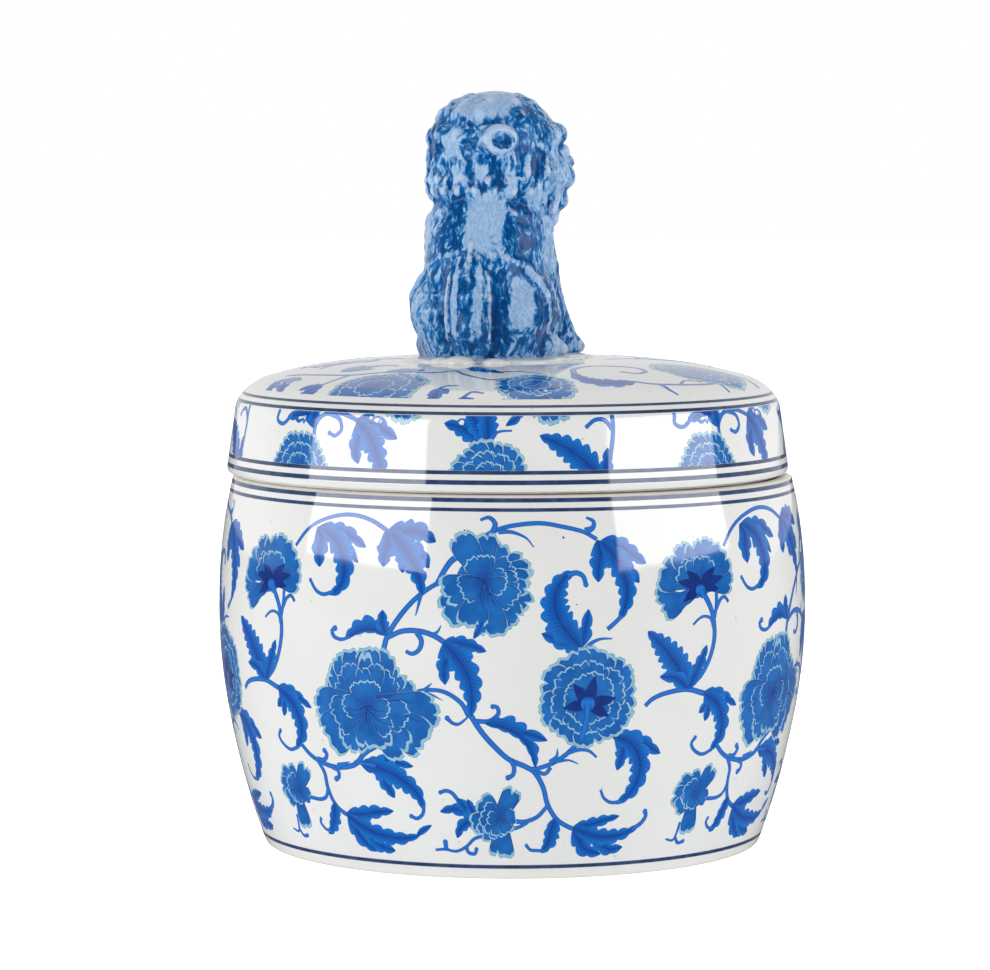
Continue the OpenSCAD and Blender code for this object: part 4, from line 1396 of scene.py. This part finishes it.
def model_head(c):
    """Skull, neck, muzzle, nose, the two halves of the face, jaw and beard."""
    turn = HEAD_TURN
    c.egg(of_head(0, -2.9, 61.8), (18.8, 19.6, 17.2), 2, turn)
    c.egg(of_head(0, -4.0, 54), (19.4, 17.6, 10.5), 3, turn)
    c.limb([of_head(0, -3, 50, 16.4), (0, 0, 42, 15.2)], 4)
    c.limb([of_head(0, 6, 56.5, 11.5), of_head(0, 11, 54.6, 9.4)], 3)
    c.egg(of_head(0, 18.2, 58.2), (4.2, 3.2, 2.7), 1.2, turn)
    c.limb([of_head(0, 16, 60.6, 2.4), of_head(0, 13.2, 65, 3)], 2)
    for side in (1, -1):
        model_face(c, side)
        model_ear(c, side)
    c.egg(of_head(0, 20.4, 49.6), (8.5, 2.9, 0.7), 0.8, turn, away=True)
    c.egg(of_head(0, 13.6, 46.6), (7.8, 6.2, 4.0), 2.2, turn)
    for x, r in ((-5.0, 2.3), (0, 3.0), (5.0, 2.3)):
        c.limb([of_head(x, 14.8 - 0.2 * abs(x), 45, r), of_head(x * 1.1, 14.0 - 0.2 * abs(x), 41, r * 0.8),
                of_head(x, 12.6, 38.4, 0.9)], 1.0)


def on_scalp(a, z, lift=0.0):
    """A point on the rounded surface of the mane, a degrees round from the face, in the head's frame."""
    t = math.sqrt(max(0.05, 1 - ((z - 61.8) / 17.2) ** 2)) if z > 58 else 1.0
    lower = 1 - 0.07 * max(0.0, (56 - z) / 8) ** 2
    rx, ry = 19.2 * t * lower, 19.9 * t * lower
    a = math.radians(a)
    return np.array(((rx + lift) * math.sin(a), (ry + lift) * math.cos(a) - 3.2, z))


def model_mane(c):
    """Hanging locks round the lower edge, flat curls above them, and combed strands on the crown."""
    rng = np.random.default_rng(7)
    for k in range(15):
        a = 66 + 228 * k / 14 + rng.uniform(-2, 2)
        top, low = 58 + rng.uniform(-2, 2), 47.6 + rng.uniform(-1.2, 1.2)
        sway = rng.uniform(-5, 5)
        p, t = on_scalp(a, top, -0.8), on_scalp(a - 0.4 * sway, low, -0.6)
        q = on_scalp(a + sway, 0.5 * (top + low), -0.1)
        c.limb([of_head(*p, 0.8), of_head(*q, 1.4), of_head(*t, 1.9)], 0.9)
    for k in range(14):
        a = 74 + 212 * k / 13
        c.limb([of_head(*on_scalp(a, 53, -0.4), 1.0), of_head(*on_scalp(a + 3, 49.5, 0.2), 1.5),
                of_head(*on_scalp(a + 1, 46.4, -0.6), 1.1)], 0.6)
    for z, count, start, r in ((70.5, 5, 122, 4.2), (64.8, 6, 118, 4.6), (58.6, 8, 100, 4.6)):
        for k in range(count):
            a = start + (360 - 2 * start) * k / (count - 1)
            at = on_scalp(a, z, -3.5)
            out = head_way(*(on_scalp(a, z, 3) - np.array((0, -3.5, 55.0))))
            c.curl(of_head(*at), out, r, 1 if k % 2 else -1)
    for k in range(9):
        a = 40 + 280 * k / 8
        c.limb([of_head(*on_scalp(a, 77.4, -0.8), 0.9), of_head(*on_scalp(a + 5, 75, -0.5), 1.1),
                of_head(*on_scalp(a + 2, 71.8, -0.5), 0.8)], 1.6)
    for side in (1, -1):
        for a, top, low, r in ((48, 62, 48, 1.5), (58, 64, 46, 1.7), (66, 58, 44, 1.5), (78, 60, 50, 1.3)):
            p, t = on_scalp(side * a, top, -0.8), on_scalp(side * (a - 3), low, -0.8)
            q = on_scalp(side * (a + 3), 0.5 * (top + low), 0.2)
            c.limb([of_head(*p, 0.9), of_head(*q, r), of_head(*t, r * 1.15)], 0.7)


def glazed_lion():
    """Cobalt glaze dabbed on with a brush and flecked, with painted shade darkening the hollows and painted
    highlight making the ridges milky and near white.
    """
    n = Nodes("lion_glaze")
    read = n.node("ShaderNodeAttribute", attribute_name="tone")
    parts = n.node("ShaderNodeSeparateXYZ")
    n.feed(parts.inputs[0], read.outputs["Vector"])
    ridge, load, calm = parts.outputs
    drift = n.node("ShaderNodeTexNoise")
    drift.inputs["Scale"].default_value = 160
    drift.inputs["Detail"].default_value = 1
    n.feed(drift.inputs["Vector"], n.place())
    sway = n.node("ShaderNodeVectorMath", operation="MULTIPLY_ADD")
    n.feed(sway.inputs[0], drift.outputs["Color"])
    sway.inputs[1].default_value = (0.006, 0.006, 0.003)
    n.feed(sway.inputs[2], n.place())
    stretch = n.node("ShaderNodeMapping")
    n.feed(stretch.inputs["Vector"], sway.outputs[0])
    stretch.inputs["Rotation"].default_value = (0.25, 0.45, 0)
    stretch.inputs["Scale"].default_value = (1.0, 1.0, 0.45)
    flecks = n.noise(720, 2.0, 0.55, where=stretch.outputs[0])
    dabs = n.noise(240, 2, 0.5, where=stretch.outputs[0])
    hairs = n.noise(1150, 2, 0.6, where=stretch.outputs[0])
    depth_and_painted_shade = n.math("MULTIPLY_ADD", flecks, n.math("MULTIPLY_ADD", calm, -2.1, 3.1),
                 n.math("MULTIPLY_ADD", calm, 0.94, -1.02))
    depth_and_painted_shade = n.math("ADD", depth_and_painted_shade, n.math("MULTIPLY_ADD", dabs, 0.8, -0.4))
    # Painted shade and highlight from the surface's shape: the hollows are made darker and the ridges lighter.
    depth_and_painted_shade = n.math("MULTIPLY_ADD", ridge, -0.34, depth_and_painted_shade)
    depth_and_painted_shade = n.math("ADD", depth_and_painted_shade, n.math("MULTIPLY_ADD", load, 0.8, -0.4))
    depth_and_painted_shade = n.math("ADD", depth_and_painted_shade, n.math("MULTIPLY_ADD", hairs, 0.3, -0.15))
    faint = n.math("MULTIPLY", n.ramp(hairs, 0.35, 0.65), n.math("MULTIPLY_ADD", calm, -0.45, 1.0))
    milky = n.mix(faint, srgb(168, 198, 232), srgb(118, 162, 210))
    mid = n.mix(n.ramp(depth_and_painted_shade, 0.24, 0.52), milky, srgb(60, 136, 196))
    blue = n.mix(n.ramp(depth_and_painted_shade, 0.44, 0.7), mid, srgb(2, 98, 168))
    deep = n.mix(n.ramp(depth_and_painted_shade, 0.66, 1.05), blue, srgb(0, 68, 130))
    # Painted highlight: the ridges are mixed towards near white, in place of glints on the glaze.
    ridge_painted_highlight = n.mix(n.ramp(ridge, 0.5, 1.2, 0.0, 0.75), deep, srgb(200, 216, 238))
    n.feed(n.shader.inputs["Base Color"], ridge_painted_highlight)
    n.feed(n.shader.inputs["Roughness"], n.ramp(n.noise(90, 2), 0.3, 0.75, 0.12, 0.22))
    n.bump(n.noise(420, 3, 0.5, where=stretch.outputs[0]), 0.55, 0.0006)
    n.set(IOR=1.3, Sheen_Weight=0.3, Sheen_Roughness=0.3)
    return n.material


def lion_place(points, k, top):
    """From the lion's own frame to the part's frame, in millimetres."""
    a = math.radians(LION_TURN)
    x = k * (points[:, 0] * math.cos(a) + points[:, 1] * math.sin(a)) + LID_X - LION_LEFT
    y = k * (-points[:, 0] * math.sin(a) + points[:, 1] * math.cos(a)) - LION_BACK
    return np.stack([x, y, k * points[:, 2] + top], 1)


def brush_and_highlight(points):
    """How much blue each vertex was loaded with, and how calm the brush was there, both 0 to 1. The pale spots
    along the haunch ridges are a painted highlight.
    """
    load = np.full(len(points), 0.62)
    calm = np.full(len(points), 0.25)
    # Each spot: centre, radii, load and calm
    spots = [((3, -19, 40), (7, 9, 9), 0.08, 1.0), ((0, 2, 78), (16, 16, 6), 0.42, 0.55),
             ((0.5, -9, 75.5), (8, 9, 5.5), 0.1, 1.0), ((13.8, -18, 16), (4.2, 8, 7.6), 0.1, 0.85),
             ((-15, -17, 14), (4.4, 8, 8), 0.35, 0.4), ((-18, 0, 36), (8, 12, 12), 0.15, 0.9),
             ((18, 2, 33), (7, 9, 12), 0.25, 0.8), ((8.6, -21, 15), (3.0, 8, 11), 1.0, 0.0),
             ((19.0, -10, 13), (3.2, 8, 9), 0.95, 0.0), ((12.5, -15, 36), (4, 6, 12), 0.95, 0.0),
             ((-6.5, -17, 37), (3.8, 6, 12), 0.95, 0.0), ((17, 4, 3), (8, 8, 6), 0.2, 0.7),
             ((-17, 4, 3), (8, 8, 6), 0.2, 0.7), (of_head(13, 12, 54), (6, 6, 6), 0.35, 0.5),
             (of_head(0, 18, 52), (9, 7, 8), 0.3, 0.6), (of_head(17, -11, 54.5), (6, 10, 5), 0.95, 0.0),
             (of_head(2, -21.5, 65), (4, 5, 6), 0.9, 0.0), (of_head(14, 1.6, 72), (4, 5, 2.6), 0.85, 0.1),
             (of_head(16.5, 4.6, 57.4), (4, 3, 3.6), 1.15, 0.0),
             (of_head(13, 10.4, 62), (3, 2.4, 4.4), 0.15, 0.8),
             (of_head(16, 3.1, 47.4), (4, 3.2, 3.6), 0.1, 0.9),
             (of_head(16.8, -12.9, 54.9), (2, 0.7, 3.0), 0.0, 1.0),
             (of_head(11.2, -18.9, 53.5), (2.2, 1.2, 3.0), 0.05, 0.9),
             (of_head(18.5, -5.7, 51.2), (3, 1.1, 4.0), 0.0, 1.0),
             (of_head(9.8, -19.2, 63), (4, 1.9, 4.6), 0.1, 0.8),
             (of_head(19.4, -8.1, 64.4), (3, 7, 5.4), 0.15, 0.7),
             (of_head(19.2, -7.6, 63.6), (2.6, 3.2, 2), 1.0, 0.2), (of_head(0, 21, 58.2), (5, 4, 2.8), 1.5, 0.4),
             (of_head(0, 20, 49.6), (7.4, 4, 0.9), 1.0, 0.0)]
    for side in (1, -1):
        spots += [(of_head(side * 7.3, 17, 60.8), (3.6, 4, 2.8), 0.0, 1.0),
                  (of_head(side * 6.6, 18, 60.6), (1.0, 4, 1.1), 1.3, 0.3)]
    spots += [((0, -27, 17), (8.5, 6, 15), 0.85, 0.1)]
    # Painted highlight: pale spots along the ridge over each haunch, paler on the lion's right.
    rim = np.array(HAUNCH_RIM)[:, :3]
    for k in np.linspace(0.4, len(rim) - 1, 22):
        x, y, z = (np.interp(k, range(len(rim)), rim[:, axis]) for axis in range(3))
        spots += [((side * x, y, z), (1.45, 1.45, 1.4), 0.12 if side > 0 else 0.3, 0.6) for side in (1, -1)]
    spots += [((mid, -29, 19), (0.62 * thick, 5, 12), blue, 0.5) for mid, thick, blue in TAIL_LOCKS]
    for centre, radii, blue, still in spots:
        d = np.sqrt((((points - np.array(centre)) / np.array(radii)) ** 2).sum(1))
        w = np.clip(1.35 - d, 0, 0.5) / 0.5
        w = w * w * (3 - 2 * w)
        load += (blue - load) * w
        calm += (still - calm) * w
    return load, calm


def make_lion():
    """Models the whole lion as one surface and stands it on the lid, at the height of the frame's lion."""
    step = 0.52
    head_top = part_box("lion_head")[1][2] / MM
    pad_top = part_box("finial_pad")[1][2] / MM
    clay = Clay((-34, -36, -1), (34, 36, 82), step)
    model_body(clay)
    model_fur(clay)
    model_tail(clay)
    model_head(clay)
    model_mane(clay)
    z = clay.axes[2][None, None, :]
    clay.field = np.maximum(clay.field, -z).astype(np.float32)
    points, quads, grid_at = clay.surface()
    ridge = clay.ridges(grid_at, max(2, round(2.2 / step)))
    load, calm = brush_and_highlight(points)
    k = (head_top - pad_top - 0.1) / points[:, 2].max()
    placed = lion_place(points, k, pad_top - 0.15)
    # The ridge channel carries the lion glaze's painted shade in the hollows and painted highlight on the ridges.
    tone = np.stack([ridge / 0.55, load, calm, np.ones(len(points))], 1)
    lion = new_object("lion", placed, [quads], "lid", glazed_lion(), None, tone[quads.ravel()])
    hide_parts("lion_torso", "lion_head", "lion_tail", "lion_foreleg_left", "lion_foreleg_right",
                "lion_hindleg_left", "lion_hindleg_right")
    make_pad()


def make_pad():
    """The slip that the lion was stuck down with, smoothed by its glaze, with two drips at the rump."""
    clay = Clay((-36, -42, -4), (36, 42, 6), 0.6)
    for x, y, r in ((0, -9, 18.5), (0, 9, 14), (15, 1, 9), (-15, 1, 9), (16.6, 22.5, 8.4), (-13.2, 22.5, 8.4),
                    (10, -12, 12), (-10, -12, 12)):
        clay.egg((x, y, 0), (r + 1.6, r + 1.6, 1.3), 1.6)
    for x, y, r, h in ((-1.6, -31.0, 4.6, 2.2), (-7.4, -29.4, 3.2, 1.6), (8.6, -28.4, 3.6, 1.5), (24, 6, 3.8, 1.3)):
        clay.egg((x, y, 0.2), (r, r * 1.1, h), 1.0)
    z = clay.axes[2][None, None, :]
    clay.field = np.maximum(clay.field, -z - 1.6).astype(np.float32)
    points, quads, _ = clay.surface()
    placed = lion_place(points, 1.0, LID_TOP)
    pad = new_object("lion_slip_pad", placed, [quads], "lid", GLAZE)
    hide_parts("finial_pad")


# ---- the studio ----

FLOOR_GLOW = 0.38
FLOOR_HALF, FLOOR_STEPS = 9.0, 24    # half its width in metres, and its faces along each side
WORLD_FRONT, WORLD_BACK, WORLD_TOP = 0.14, 0.8, 0.6
BOX_HEIGHT, BOX_LOW, BOX_AWAY = 0.6, 0.19, 1.25    # the softboxes' height, lower edge and distance, in metres
CAMERA_AT = (0, -1.3, 0.21)
CAMERA_LENS, CAMERA_DOWN, CAMERA_LEFT = 156.2, 4.475, 0.23    # in mm, and in degrees


def make_floor():
    """White paper that the camera sees as white and that the glaze reflects as grey."""
    n = Nodes("studio_floor")
    path = n.node("ShaderNodeLightPath")
    paper = n.mix(n.noise(3, 2), srgb(247, 247, 248), srgb(250, 250, 250))
    n.feed(n.shader.inputs["Base Color"], n.mix(path.outputs["Is Glossy Ray"], paper, srgb(110, 110, 112)))
    n.set(Roughness=0.8, Emission_Color=(1, 1, 1, 1))
    glow = n.ramp(path.outputs["Is Diffuse Ray"], 0, 1, 0.0, FLOOR_GLOW)
    n.feed(n.shader.inputs["Emission Strength"], n.math("MULTIPLY_ADD", path.outputs["Is Camera Ray"], 0.9, glow))
    steps = FLOOR_STEPS
    edge = np.linspace(-FLOOR_HALF, FLOOR_HALF, steps + 1)
    x, y = np.meshgrid(edge, edge)
    vertices = np.stack([x.ravel(), y.ravel(), np.zeros(x.size)], 1) / MM
    i = np.arange(steps * (steps + 1)).reshape(steps, steps + 1)[:, :steps].ravel()
    faces = np.stack([i, i + 1, i + steps + 2, i + steps + 1], 1)
    floor = new_object("studio_floor", vertices, [faces], None, n.material)


def make_softbox(name, azimuth, width, power):
    """A soft light at an azimuth from the camera's side, facing the jar."""
    a = math.radians(azimuth)
    light = bpy.data.lights.new(name, "AREA")
    light.shape = "RECTANGLE"
    light.size, light.size_y, light.energy = width, BOX_HEIGHT, power
    obj = bpy.data.objects.new(name, light)
    obj.location = (BOX_AWAY * math.sin(a), -BOX_AWAY * math.cos(a), BOX_LOW + BOX_HEIGHT / 2)
    aim = Vector((0, 0, obj.location.z)) - obj.location
    obj.rotation_euler = aim.to_track_quat("-Z", "Y").to_euler()
    bpy.context.scene.collection.objects.link(obj)


def make_studio():
    """Pale floor, two softboxes, and a world that is darker at the front and lit from behind and above."""
    make_floor()
    make_softbox("softbox_left", -59, 1.25, 8.5)
    make_softbox("softbox_right", 66, 1.2, 7.5)
    world = bpy.data.worlds.new("studio")
    bpy.context.scene.world = world
    world.use_nodes = True
    tree = world.node_tree
    back = tree.nodes["Background"]
    back.inputs["Color"].default_value = (1, 1, 1, 1)
    way, parts, fade, rise, total, path, brightest = (tree.nodes.new("ShaderNode" + kind) for kind in (
        "TexCoord", "SeparateXYZ", "MapRange", "MapRange", "Math", "LightPath", "Math"))
    fade.interpolation_type = rise.interpolation_type = "SMOOTHSTEP"
    brightest.operation = "MAXIMUM"
    for ramp, limits in ((fade, (0.05, 0.7, WORLD_FRONT, WORLD_BACK)), (rise, (0.6, 1.0, 0.0, WORLD_TOP))):
        for socket, value in zip(("From Min", "From Max", "To Min", "To Max"), limits):
            ramp.inputs[socket].default_value = value
    for output, socket in ((way.outputs["Generated"], parts.inputs[0]), (parts.outputs["Y"], fade.inputs["Value"]),
                           (parts.outputs["Z"], rise.inputs["Value"]), (fade.outputs[0], total.inputs[0]),
                           (rise.outputs[0], total.inputs[1]), (total.outputs[0], brightest.inputs[0]),
                           (path.outputs["Is Camera Ray"], brightest.inputs[1]),
                           (brightest.outputs[0], back.inputs["Strength"])):
        tree.links.new(output, socket)
    bpy.context.scene.view_settings.view_transform = "Standard"


def make_camera():
    """A long lens a little above the lid, as in the photograph."""
    camera = bpy.data.cameras.new("camera")
    camera.sensor_width = 36
    camera.lens = CAMERA_LENS
    camera.clip_end = 50
    obj = bpy.data.objects.new("camera", camera)
    obj.location = CAMERA_AT
    obj.rotation_euler = (math.radians(90 - CAMERA_DOWN), 0, math.radians(CAMERA_LEFT))
    bpy.context.scene.collection.objects.link(obj)
    bpy.context.scene.camera = obj


make_camera()
make_jar()
make_lid()
make_lion()
make_studio()
